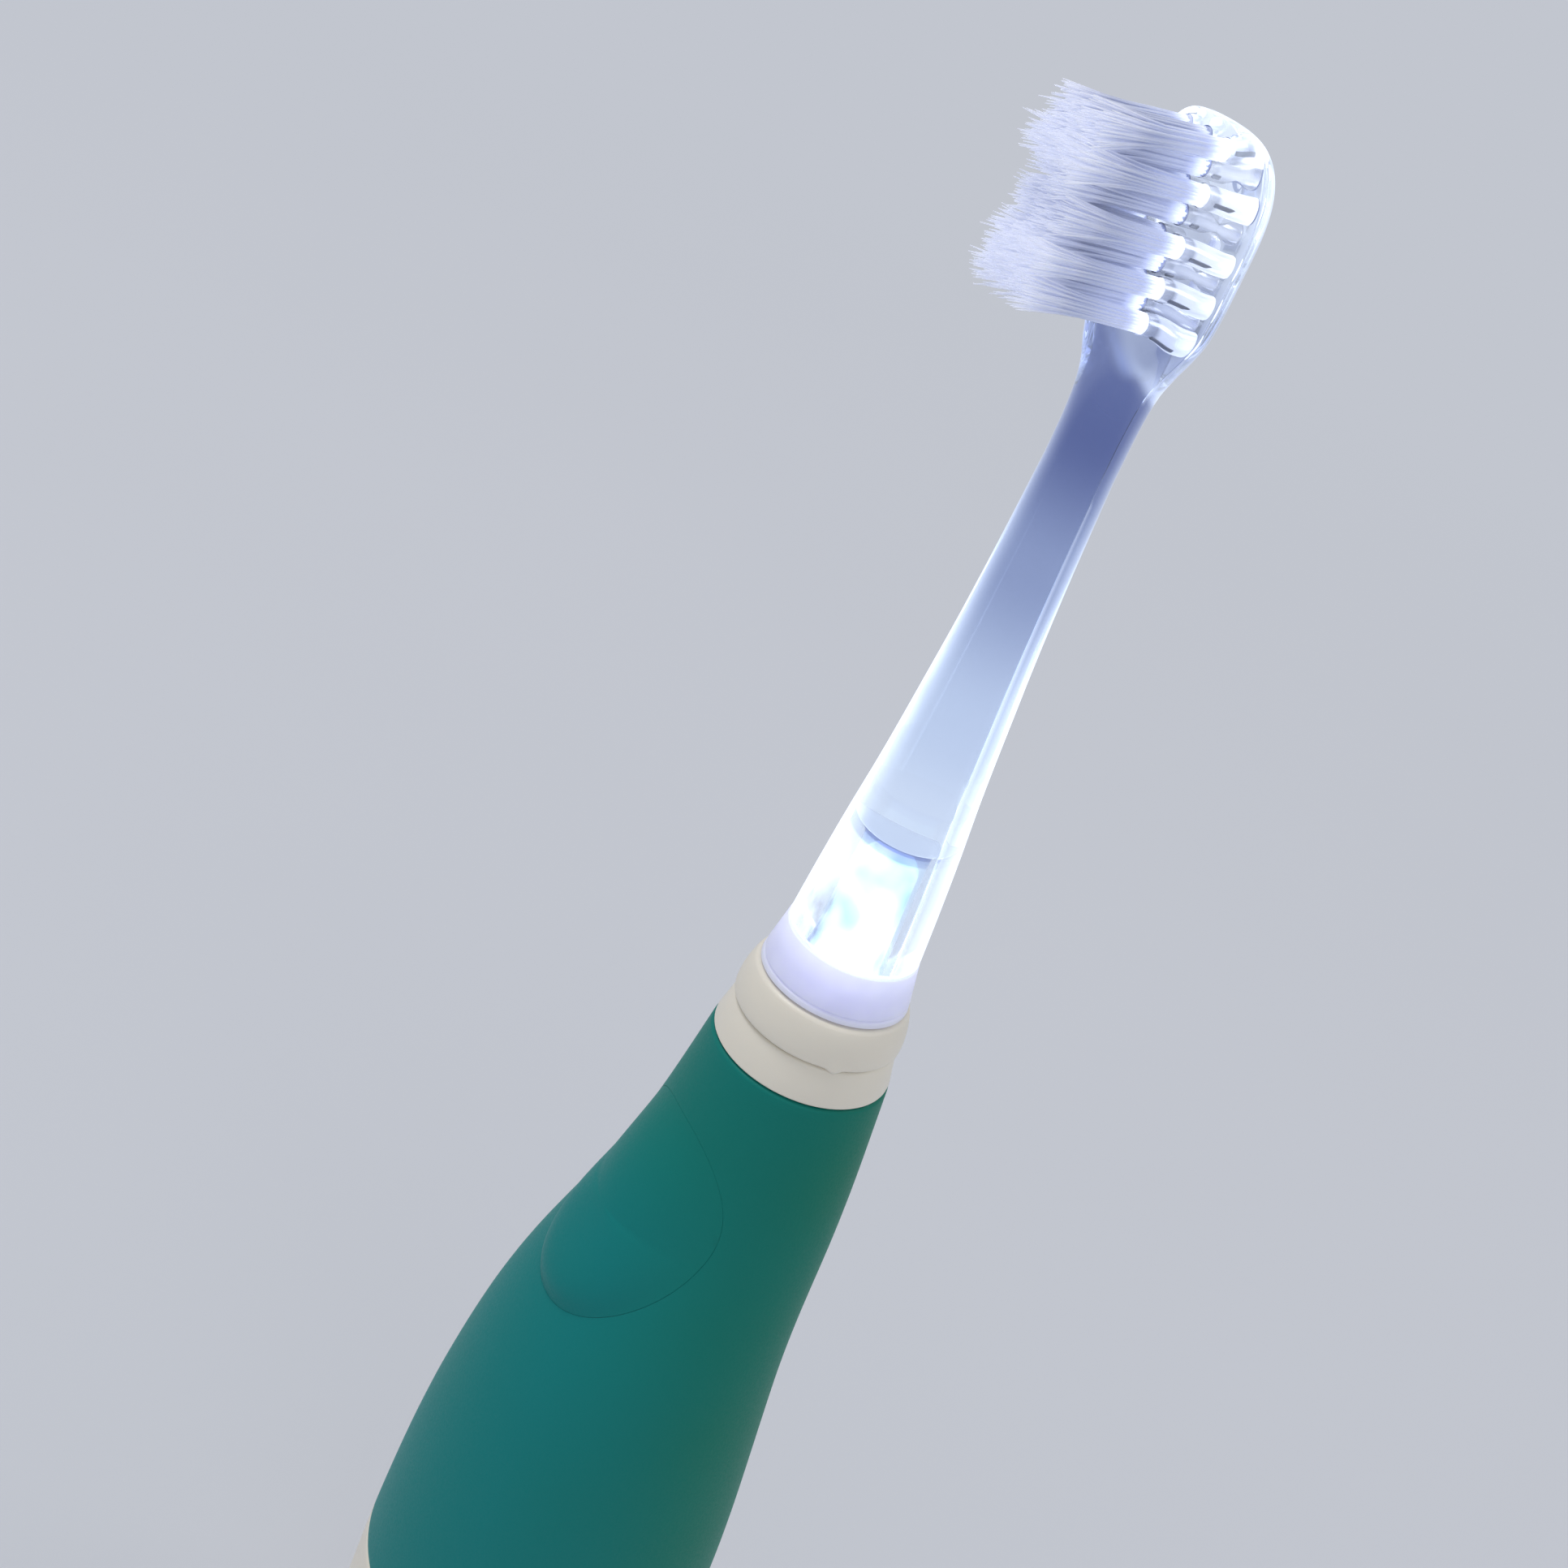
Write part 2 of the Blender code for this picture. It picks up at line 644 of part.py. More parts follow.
def make_nose_cap(material):
    skirt = nose_bore() - FIT_GAP
    bore = skirt - SKIRT_WALL
    foot = COLLAR_TOP + FIT_GAP
    outline = [
        (NOSE_TOP_RADIUS, NOSE_TOP),
        (NOSE_FOOT_RADIUS, foot),
        (skirt, foot),
        (skirt, foot - SKIRT_LENGTH),
        (bore, foot - SKIRT_LENGTH),
        (bore, NOSE_TOP),
    ]
    return turned("nose_cap", outline, material, closed=True, sides=HANDLE_SIDES)


def make_nose_seal(material):
    """Rim and hub joined by a thin web, so that the stem can rock in it."""
    rim = nose_bore() - FIT_GAP - SKIRT_WALL - FIT_GAP
    rim_bore = rim - SEAL_RIM_WALL
    hub_bore = STEM_RADIUS + FIT_GAP
    hub = hub_bore + SEAL_HUB_WALL
    top = ROCK_HEIGHT + SEAL_HEIGHT * HALF
    foot = ROCK_HEIGHT - SEAL_HEIGHT * HALF
    web_top = ROCK_HEIGHT + SEAL_WEB * HALF
    web_foot = ROCK_HEIGHT - SEAL_WEB * HALF
    outline = [
        (rim, top), (rim, foot), (rim_bore, foot), (rim_bore, web_foot), (hub, web_foot),
        (hub, foot), (hub_bore, foot), (hub_bore, top), (hub, top), (hub, web_top),
        (rim_bore, web_top), (rim_bore, top),
    ]
    return turned("nose_seal", outline, material, closed=True, sides=SMALL_SIDES)


def make_chassis(material):
    """Tube for the cell, closed by an end plate that seats in the body, with two board rails."""
    bore = CELL_RADIUS + TUBE_PLAY
    foot = CELL_FOOT + TUBE_LIFT
    shift = -CELL_SHIFT
    rings = [
        circle(bore, PLATE_FOOT, shift),
        circle(bore, foot, shift),
        circle(TUBE_RADIUS, foot, shift),
        circle(TUBE_RADIUS, PLATE_FOOT, shift),
        circle(body_bore(PLATE_FOOT) - FIT_GAP, PLATE_FOOT, handle_shift(PLATE_FOOT)),
        circle(body_bore(PLATE_TOP) - FIT_GAP, PLATE_TOP, handle_shift(PLATE_TOP)),
    ]
    chassis = lofted("chassis", rings, material)
    edge = BOARD_WIDTH * HALF + FIT_GAP
    for side, sign in SIDES:
        inner = sign * (edge - FIT_GAP - RAIL_GRIP)
        outer = sign * (edge + RAIL_WALL)
        rail = box(side + "_rail",
                   (min(inner, outer), BOARD_FACE - FIT_GAP - RAIL_WALL, PLATE_TOP - END_PLATE * HALF),
                   (max(inner, outer), BOARD_BACK + FIT_GAP, PLATE_TOP + RAIL_HEIGHT),
                   None)
        join(chassis, rail)
    slot = box("board_slot",
               (-edge, BOARD_FACE - FIT_GAP, PLATE_TOP),
               (edge, BOARD_BACK + FIT_GAP + CUT_OVERRUN, PLATE_TOP + RAIL_HEIGHT + CUT_OVERRUN),
               None)
    cut(chassis, slot)
    strip_back = strip_place()
    strip_slot = box("strip_slot",
                     (-STRIP_WIDTH * HALF - FIT_GAP, strip_back - CONTACT_THICKNESS - FIT_GAP,
                      PLATE_FOOT - CUT_OVERRUN),
                     (STRIP_WIDTH * HALF + FIT_GAP, strip_back + FIT_GAP, PLATE_TOP + CUT_OVERRUN),
                     None)
    cut(chassis, strip_slot)
    tab = tab_place()
    tab_slot = box("tab_slot",
                   (-TAB_WIDTH * HALF - FIT_GAP, tab - CONTACT_THICKNESS - FIT_GAP,
                    PLATE_FOOT - CUT_OVERRUN),
                   (TAB_WIDTH * HALF + FIT_GAP, tab + FIT_GAP, PLATE_TOP + CUT_OVERRUN),
                   None)
    return cut(chassis, tab_slot)


def strip_place():
    """Y of the back face of the negative strip, in front of the cell's tube."""
    return -CELL_SHIFT - TUBE_RADIUS - FIT_GAP


def tab_place():
    """Y of the back face of the positive contact's tab."""
    return -CELL_SHIFT - TAB_FORWARD


def make_positive_contact(material):
    shift = -CELL_SHIFT
    disc = turned("positive_contact",
                  [(0, POSITIVE_TOP), (CONTACT_RADIUS, POSITIVE_TOP),
                   (CONTACT_RADIUS, POSITIVE_FOOT), (0, POSITIVE_FOOT)],
                  material, centre=(0, shift))
    back = tab_place()
    tab = box("positive_tab",
              (-TAB_WIDTH * HALF, back - CONTACT_THICKNESS, POSITIVE_FOOT + CONTACT_THICKNESS * HALF),
              (TAB_WIDTH * HALF, back, BOARD_FOOT + 2 * WIRE_RADIUS),
              None)
    return join(disc, tab)


def make_negative_strip(material):
    """A spring strip up the front of the cell's tube, bent in to the board."""
    back = strip_place()
    top = BOARD_FOOT + SMALL_CHIP_LIFT * HALF
    foot = CELL_FOOT + TUBE_LIFT
    front = back - CONTACT_THICKNESS
    half = STRIP_WIDTH * HALF
    outline = [
        (-half, back, foot), (-half, front, foot), (-half, front, top),
        (-half, BOARD_FACE - FIT_GAP, top), (-half, BOARD_FACE - FIT_GAP, top - CONTACT_THICKNESS),
        (-half, back, top - CONTACT_THICKNESS),
    ]
    return plate("negative_strip", outline, (STRIP_WIDTH, 0, 0), material)


def make_board(material):
    return box("main_board",
               (-BOARD_WIDTH * HALF, BOARD_FACE, BOARD_FOOT),
               (BOARD_WIDTH * HALF, BOARD_BACK, BOARD_FOOT + BOARD_LENGTH),
               material)


def make_board_parts(black, pale):
    """The control chip and two small parts beside it, soldered to the board's face."""
    face = BOARD_FACE - FIT_GAP
    chip = BOARD_FOOT + CHIP_LIFT
    small = BOARD_FOOT + SMALL_CHIP_LIFT
    parts = (
        ("control_chip", 0, chip, CHIP_WIDTH, CHIP_DEPTH, black),
        ("resistor_left", -SMALL_CHIP_SPREAD, small, SMALL_CHIP_WIDTH, SMALL_CHIP_DEPTH, pale),
        ("resistor_right", SMALL_CHIP_SPREAD, small, SMALL_CHIP_WIDTH, SMALL_CHIP_DEPTH, pale),
    )
    for name, x, height, width, depth, material in parts:
        half = width * HALF
        box(name, (x - half, face - depth, height - half), (x + half, face, height + half), material)


def make_tact_switch(material):
    face = BOARD_FACE - FIT_GAP
    case = box("tact_switch",
               (-SWITCH_WIDTH * HALF, face - SWITCH_DEPTH, SWITCH_HEIGHT - SWITCH_WIDTH * HALF),
               (SWITCH_WIDTH * HALF, face, SWITCH_HEIGHT + SWITCH_WIDTH * HALF),
               material)
    pocket = rod("stem_pocket",
                 (0, face - SWITCH_DEPTH - CUT_OVERRUN, SWITCH_HEIGHT),
                 (0, face - SWITCH_DEPTH + 2 * SWITCH_STEM_DEPTH, SWITCH_HEIGHT),
                 SWITCH_STEM_RADIUS + FIT_GAP, SMALL_SIDES, None)
    return cut(case, pocket)


def make_switch_stem(material, parent):
    face = BOARD_FACE - FIT_GAP - SWITCH_DEPTH
    return rod("switch_stem",
               (0, BOARD_FACE - SWITCH_DEPTH - SWITCH_STEM_PROUD, SWITCH_HEIGHT),
               (0, face + SWITCH_STEM_DEPTH, SWITCH_HEIGHT),
               SWITCH_STEM_RADIUS, SMALL_SIDES, material, parent)


def make_motor_leads(material):
    """Two short wires from the board's back to just under the motor's terminals."""
    height = CAP_FOOT - TERMINAL_LENGTH - 2 * FIT_GAP - WIRE_RADIUS
    for side, sign in SIDES:
        x = sign * TERMINAL_SPREAD
        rod("motor_lead_" + side, (x, BOARD_BACK + FIT_GAP, height), (x, TERMINAL_WIDTH * HALF, height),
            WIRE_RADIUS, SMALL_SIDES, material)


def make_motor(can_metal, cap_plastic, terminal_metal, parent):
    shaft_hole = MOTOR_SHAFT_RADIUS + FIT_GAP
    turned("motor_can",
           [(MOTOR_COLLAR_RADIUS, MOTOR_TOP), (MOTOR_RADIUS, MOTOR_TOP), (MOTOR_RADIUS, MOTOR_FOOT),
            (shaft_hole, MOTOR_FOOT), (shaft_hole, MOTOR_TOP + FIT_GAP),
            (MOTOR_COLLAR_RADIUS, MOTOR_TOP + FIT_GAP)],
           can_metal, parent, closed=True)
    turned("motor_end_cap",
           [(0, CAP_FOOT + MOTOR_CAP_LENGTH), (MOTOR_RADIUS, CAP_FOOT + MOTOR_CAP_LENGTH),
            (MOTOR_RADIUS, CAP_FOOT), (0, CAP_FOOT)],
           cap_plastic, parent)
    top = CAP_FOOT - FIT_GAP
    for side, sign in SIDES:
        x = sign * TERMINAL_SPREAD
        box("motor_terminal_" + side,
            (x - TERMINAL_THICKNESS * HALF, -TERMINAL_WIDTH * HALF, top - TERMINAL_LENGTH),
            (x + TERMINAL_THICKNESS * HALF, TERMINAL_WIDTH * HALF, top),
            terminal_metal, parent)


def make_rotor(shaft_metal, weight_metal, parent):
    rod("motor_shaft", (0, 0, MOTOR_FOOT + FIT_GAP), (0, 0, SHAFT_TOP), MOTOR_SHAFT_RADIUS,
        SMALL_SIDES, shaft_metal, parent)
    foot = MOTOR_TOP + WEIGHT_LIFT
    outline = []
    for step in range(SMALL_SIDES + 1):
        angle = math.pi * step / SMALL_SIDES
        outline.append((WEIGHT_RADIUS * math.cos(angle), WEIGHT_RADIUS * math.sin(angle), foot))
    for step in range(SMALL_SIDES + 1):
        angle = math.pi + math.pi * step / SMALL_SIDES
        outline.append((WEIGHT_HUB_RADIUS * math.cos(angle), WEIGHT_HUB_RADIUS * math.sin(angle), foot))
    weight = plate("eccentric_weight", outline, (0, 0, WEIGHT_HEIGHT), weight_metal, parent)
    bore = rod("weight_bore", (0, 0, foot - CUT_OVERRUN), (0, 0, foot + WEIGHT_HEIGHT + CUT_OVERRUN),
               MOTOR_SHAFT_RADIUS + FIT_GAP, SMALL_SIDES, None)
    return cut(weight, bore)


def make_cradle(material, parent):
    boss_bore = STEM_RADIUS + FIT_GAP
    boss = boss_bore + CRADLE_BOSS_WALL
    outline = [
        (0, CRADLE_TOP), (boss_bore, CRADLE_TOP), (boss_bore, BOSS_TOP), (boss, BOSS_TOP),
        (boss, CRADLE_TOP), (CRADLE_RADIUS, CRADLE_TOP), (CRADLE_RADIUS, CAP_FOOT),
        (CRADLE_BORE, CAP_FOOT), (CRADLE_BORE, CRADLE_ROOF), (0, CRADLE_ROOF),
    ]
    return turned("motor_cradle", outline, material, parent)


def make_stem(material, parent):
    outline = [
        (STEM_RADIUS, STEM_TOP), (STEM_RADIUS, STEM_FOOT),
        (STEM_BORE_RADIUS, STEM_FOOT), (STEM_BORE_RADIUS, STEM_TOP),
    ]
    return turned("drive_stem", outline, material, parent, closed=True, sides=SMALL_SIDES)


def socket_radius(height):
    """Radius of the brush head's tapered socket."""
    share = (height - SPIGOT_NECK_FOOT) / SOCKET_DEPTH
    foot = RING_TOP_RADIUS - RING_WALL - FIT_GAP - SOCKET_WALL
    return foot - SOCKET_TAPER * share


def post_radius(height):
    return socket_radius(height) - FIT_GAP


def make_light_post(material, parent):
    lamp_bore = LAMP_RADIUS + FIT_GAP
    stem_bore = STEM_RADIUS + FIT_GAP
    shoulder = POST_TOP - POST_WALL
    roof = POST_TOP - POST_TIP_WALL
    outline = [
        (0, POST_TOP),
        (post_radius(POST_TOP) - POST_WALL, POST_TOP),
        (post_radius(shoulder), shoulder),
        (post_radius(POST_FOOT), POST_FOOT),
        (stem_bore, POST_FOOT),
        (stem_bore, STEM_TOP + FIT_GAP),
        (lamp_bore, STEM_TOP + FIT_GAP),
        (lamp_bore, roof),
        (0, roof),
    ]
    return turned("light_post", outline, material, parent)


def make_lamp(lens, lead_metal, parent):
    dome_foot = LAMP_FOOT + LAMP_BASE_LENGTH
    outline = []
    for step in range(SMALL_SIDES // 2 + 1):
        angle = math.pi * HALF * (1 - step / (SMALL_SIDES // 2))
        outline.append((LAMP_RADIUS * math.cos(angle) if step else 0,
                        dome_foot + LAMP_RADIUS * math.sin(angle)))
    outline.append((LAMP_RADIUS, LAMP_FOOT))
    outline.append((0, LAMP_FOOT))
    turned("led_lamp", outline, lens, parent, sides=SMALL_SIDES)
    for side, sign in SIDES:
        x = sign * LEAD_SPREAD
        rod("lamp_lead_" + side, (x, 0, STEM_FOOT + FIT_GAP), (x, 0, LAMP_FOOT - FIT_GAP),
            LEAD_RADIUS, SMALL_SIDES // 2, lead_metal, parent)


def make_battery(material, parent):
    outline = [
        (0, NUB_TOP), (CELL_NUB_RADIUS, NUB_TOP), (CELL_NUB_RADIUS, CELL_TOP),
        (CELL_RADIUS, CELL_TOP), (CELL_RADIUS, CELL_FOOT), (0, CELL_FOOT),
    ]
    return turned("battery", outline, material, parent, centre=(0, -CELL_SHIFT))


def cover_spigot():
    seat_radius, seat_shift = spigot_seat()
    return seat_radius - FIT_GAP, seat_shift


def make_battery_cover(material, parent):
    spigot, shift = cover_spigot()
    groove = spigot - RING_SECTION - FIT_GAP
    groove_top = SPIGOT_TOP - RING_DROP + RING_SECTION * HALF + FIT_GAP
    groove_foot = SPIGOT_TOP - RING_DROP - RING_SECTION * HALF - FIT_GAP
    bore = spigot - SPIGOT_WALL
    shelf = COVER_HEIGHT - SPIGOT_WALL - COVER_WALL
    outer = [skin(height) for height in levels(PAD_PROUD, COVER_HEIGHT, COVER_LEVELS)]
    spigot_rings = [
        circle(spigot, COVER_HEIGHT, shift), circle(spigot, groove_foot, shift),
        circle(groove, groove_foot, shift), circle(groove, groove_top, shift),
        circle(spigot, groove_top, shift), circle(spigot, SPIGOT_TOP, shift),
        circle(bore, SPIGOT_TOP, shift), circle(bore, COVER_HEIGHT - SPIGOT_WALL, shift),
    ]
    inner = [skin(height, COVER_WALL) for height in reversed(levels(FLOOR_TOP, shelf, COVER_LEVELS // 2))]
    cover = lofted("battery_cover", outer + spigot_rings + inner, material, parent)
    pocket = rod("pad_pocket", (0, handle_shift(0), -CUT_OVERRUN), (0, handle_shift(0), FLOOR_FOOT),
                 PAD_RADIUS + FIT_GAP, HANDLE_SIDES, None)
    return cut(cover, pocket)


def make_o_ring(material, parent):
    spigot, shift = cover_spigot()
    half = RING_SECTION * HALF
    centre = spigot - half
    height = SPIGOT_TOP - RING_DROP
    turn = 2 * math.pi / O_RING_SIDES
    outline = [(centre + half * math.sin(turn * step), height + half * math.cos(turn * step))
               for step in range(O_RING_SIDES)]
    return turned("cover_o_ring", outline, material, parent, centre=(0, shift), closed=True)


def make_cover_contact(material, parent):
    """Disc under the spring, with a blade that rises in front of the handle's strip."""
    shift = -CELL_SHIFT
    disc = turned("cover_contact",
                  [(0, CONTACT_TOP), (CONTACT_RADIUS, CONTACT_TOP), (CONTACT_RADIUS, CONTACT_FOOT),
                   (0, CONTACT_FOOT)],
                  material, parent, centre=(0, shift))
    blade_back = strip_place() - CONTACT_THICKNESS - FIT_GAP
    blade_front = blade_back - CONTACT_THICKNESS
    half = STRIP_WIDTH * HALF
    # the foot stays a little inside the disc's own thickness, so the two join along a clean line
    inset = CONTACT_THICKNESS * BLADE_INSET_SHARE
    outline = [
        (-half, shift, CONTACT_FOOT + inset), (-half, blade_front, CONTACT_FOOT + inset),
        (-half, blade_front, CONTACT_FOOT + BLADE_RISE), (-half, blade_back, CONTACT_FOOT + BLADE_RISE),
        (-half, blade_back, CONTACT_TOP - inset), (-half, shift, CONTACT_TOP - inset),
    ]
    blade = plate("contact_blade", outline, (STRIP_WIDTH, 0, 0), None)
    return join(disc, blade)


def make_negative_spring(material, parent):
    wire_radius = SPRING_WIRE * HALF
    foot = CONTACT_TOP + FIT_GAP + wire_radius
    rise = SPRING_HEIGHT - SPRING_WIRE
    steps = SPRING_TURNS * SPRING_STEPS
    points = []
    for step in range(steps + 1):
        share = step / steps
        angle = 2 * math.pi * SPRING_TURNS * share
        radius = SPRING_FOOT_RADIUS + (SPRING_TOP_RADIUS - SPRING_FOOT_RADIUS) * share
        points.append((radius * math.cos(angle), radius * math.sin(angle) - CELL_SHIFT,
                       foot + rise * share))
    return wire("negative_spring", points, wire_radius, material, parent)


def make_base_pad(material, parent):
    return turned("base_pad",
                  [(0, PAD_TOP), (PAD_RADIUS, PAD_TOP), (PAD_RADIUS, 0), (0, 0)],
                  material, parent, centre=(0, handle_shift(0)), sides=HANDLE_SIDES)


def head_section(height, half_width, front, back, flatness):
    """One ring of the head: nearly flat in front, rounded behind."""
    turn = 2 * math.pi / NECK_SIDES
    ring = []
    for step in range(NECK_SIDES):
        across, deep = math.cos(turn * step), math.sin(turn * step)
        power = HEAD_BACK_POWER if deep > 0 else HEAD_FRONT_POWER
        power = 2 + (power - 2) * flatness
        reach = 1 / (abs(across) ** power + abs(deep) ** power) ** (1 / power)
        middle = (back - front) * HALF
        depth = (back + front) * HALF
        ring.append((half_width * reach * across, middle + depth * reach * deep, height))
    return ring


def head_sizes():
    """Height, half width, front, back and flatness of each section of the head."""
    sizes = []
    for share, grow, flatness in FLARE_SHARES:
        grown = [NECK_TOP_RADIUS + (full - NECK_TOP_RADIUS) * grow
                 for full in (HEAD_WIDTH * HALF, HEAD_FRONT, HEAD_BACK)]
        sizes.append((HEAD_FOOT + HEAD_LENGTH * share, *grown, flatness))
    for share, width, front, back in TIP_SHARES:
        sizes.append((HEAD_FOOT + HEAD_LENGTH * share, HEAD_WIDTH * HALF * width,
                      HEAD_FRONT * front, HEAD_BACK * back, 1))
    return sizes


def head_size(height, column):
    """Half width (column 1), front (2) or back (3) of the head at one height."""
    sizes = head_sizes()
    for lower, upper in zip(sizes, sizes[1:]):
        if height <= upper[0]:
            share = (height - lower[0]) / (upper[0] - lower[0])
            return lower[column] + (upper[column] - lower[column]) * share
    return sizes[-1][column]


def head_rings():
    """Neck and head sections from the foot of the neck to the tip."""
    rings = []
    for share, grow in NECK_SHARES:
        radius = NECK_TOP_RADIUS + (NECK_FOOT_RADIUS - NECK_TOP_RADIUS) * grow
        rings.append(circle(radius, NECK_FOOT + NECK_LENGTH * share, sides=NECK_SIDES))
    for sizes in head_sizes():
        rings.append(head_section(*sizes))
    return rings


def tuft_places():
    """X and height of each tuft's middle."""
    places = []
    for row, count in enumerate(TUFTS_IN_ROWS):
        height = FIRST_ROW + (LAST_ROW - FIRST_ROW) * row / (len(TUFTS_IN_ROWS) - 1)
        for column in range(count):
            places.append((COLUMN_PITCH * (column - (count - 1) * HALF), height))
    return places


def field_face():
    return -HEAD_FRONT + FIELD_RECESS


def tuft_hole_end(height):
    """Y of the bottom of a tuft's hole: the head is thinner towards its tip."""
    return head_size(height + TUFT_HOLE_RADIUS, 3) * TUFT_DEPTH_SHARE


def field_outline(grow, depth):
    """Rounded outline of the bristle field, at one depth: it keeps clear of the head's sides."""
    heights = [height for _, height in tuft_places()]
    low = min(heights) - TUFT_RADIUS - FIELD_MARGIN
    high = max(heights) + TUFT_RADIUS + FIELD_MARGIN
    outline = []
    for step in range(FIELD_SIDES):
        angle = 2 * math.pi * (step + HALF) / FIELD_SIDES
        across, up = math.cos(angle), math.sin(angle)
        square_across = math.copysign(abs(across) ** (2 / FIELD_POWER), across)
        square_up = math.copysign(abs(up) ** (2 / FIELD_POWER), up)
        height = (low + high) * HALF + (high - low) * HALF * square_up
        half = head_size(height, 1) - FIELD_INSET
        outline.append(((half + grow) * square_across, depth, height + grow * square_up))
    return outline


def make_brush_neck(material, parent):
    spigot = RING_TOP_RADIUS - RING_WALL - FIT_GAP
    rings = [
        circle(socket_radius(SOCKET_TOP), SOCKET_TOP, sides=NECK_SIDES),
        circle(socket_radius(SPIGOT_NECK_FOOT), SPIGOT_NECK_FOOT, sides=NECK_SIDES),
        circle(spigot, SPIGOT_NECK_FOOT, sides=NECK_SIDES),
        circle(spigot, NECK_FOOT, sides=NECK_SIDES),
    ]
    neck = lofted("brush_neck", rings + head_rings(), material, parent)
    floor = field_face() + FIELD_THICKNESS + FIT_GAP
    depth = floor + HEAD_FRONT + CUT_OVERRUN
    pocket = plate("field_pocket", field_outline(FIT_GAP, -HEAD_FRONT - CUT_OVERRUN), (0, depth, 0), None)
    cut(neck, pocket)
    shape = bmesh.new()
    for x, height in tuft_places():
        add_rod(shape, (x, floor - FIT_GAP * HALF, height), (x, tuft_hole_end(height), height),
                TUFT_HOLE_RADIUS, TUFT_SIDES)
    return cut(neck, piece_from("tuft_holes", shape, None))


def make_bristles(material, parent):
    """Slice of the head's face with every tuft's roots and strands standing on it."""
    face = field_face()
    field = plate("bristle_tufts", field_outline(0, face), (0, FIELD_THICKNESS, 0), material, parent)
    tufts = bmesh.new()
    golden = math.pi * (3 - math.sqrt(5))
    count = 0
    for x, height in tuft_places():
        add_rod(tufts, (x, face + FIELD_THICKNESS * HALF, height), (x, tuft_hole_end(height) - FIT_GAP, height),
                TUFT_HOLE_RADIUS - FIT_GAP, TUFT_SIDES)
        for strand in range(BRISTLES_PER_TUFT):
            count += 1
            out = (TUFT_RADIUS - BRISTLE_RADIUS) * math.sqrt((strand + HALF) / BRISTLES_PER_TUFT)
            across, up = out * math.cos(golden * count), out * math.sin(golden * count)
            jag = BRISTLE_JAG * math.sin(count * golden * 2) * math.sin(count * golden * 5)
            tip = face - BRISTLE_LENGTH - jag
            add_rod(tufts, (x + across, face + BRISTLE_SINK, height + up),
                    (x + across * TUFT_FAN_SHARE, tip, height + up * TUFT_FAN_SHARE),
                    BRISTLE_RADIUS, STRAND_SIDES, BRISTLE_RADIUS * HALF)
    return join(field, piece_from("tufts", tufts, None))


def make_head_ring(material, parent):
    foot = NOSE_TOP_RADIUS - FIT_GAP * HALF
    bore = RING_TOP_RADIUS - RING_WALL
    outline = [(RING_TOP_RADIUS, RING_TOP), (foot, RING_FOOT), (bore, RING_FOOT), (bore, RING_TOP)]
    return turned("head_ring", outline, material, parent, closed=True, sides=HANDLE_SIDES)


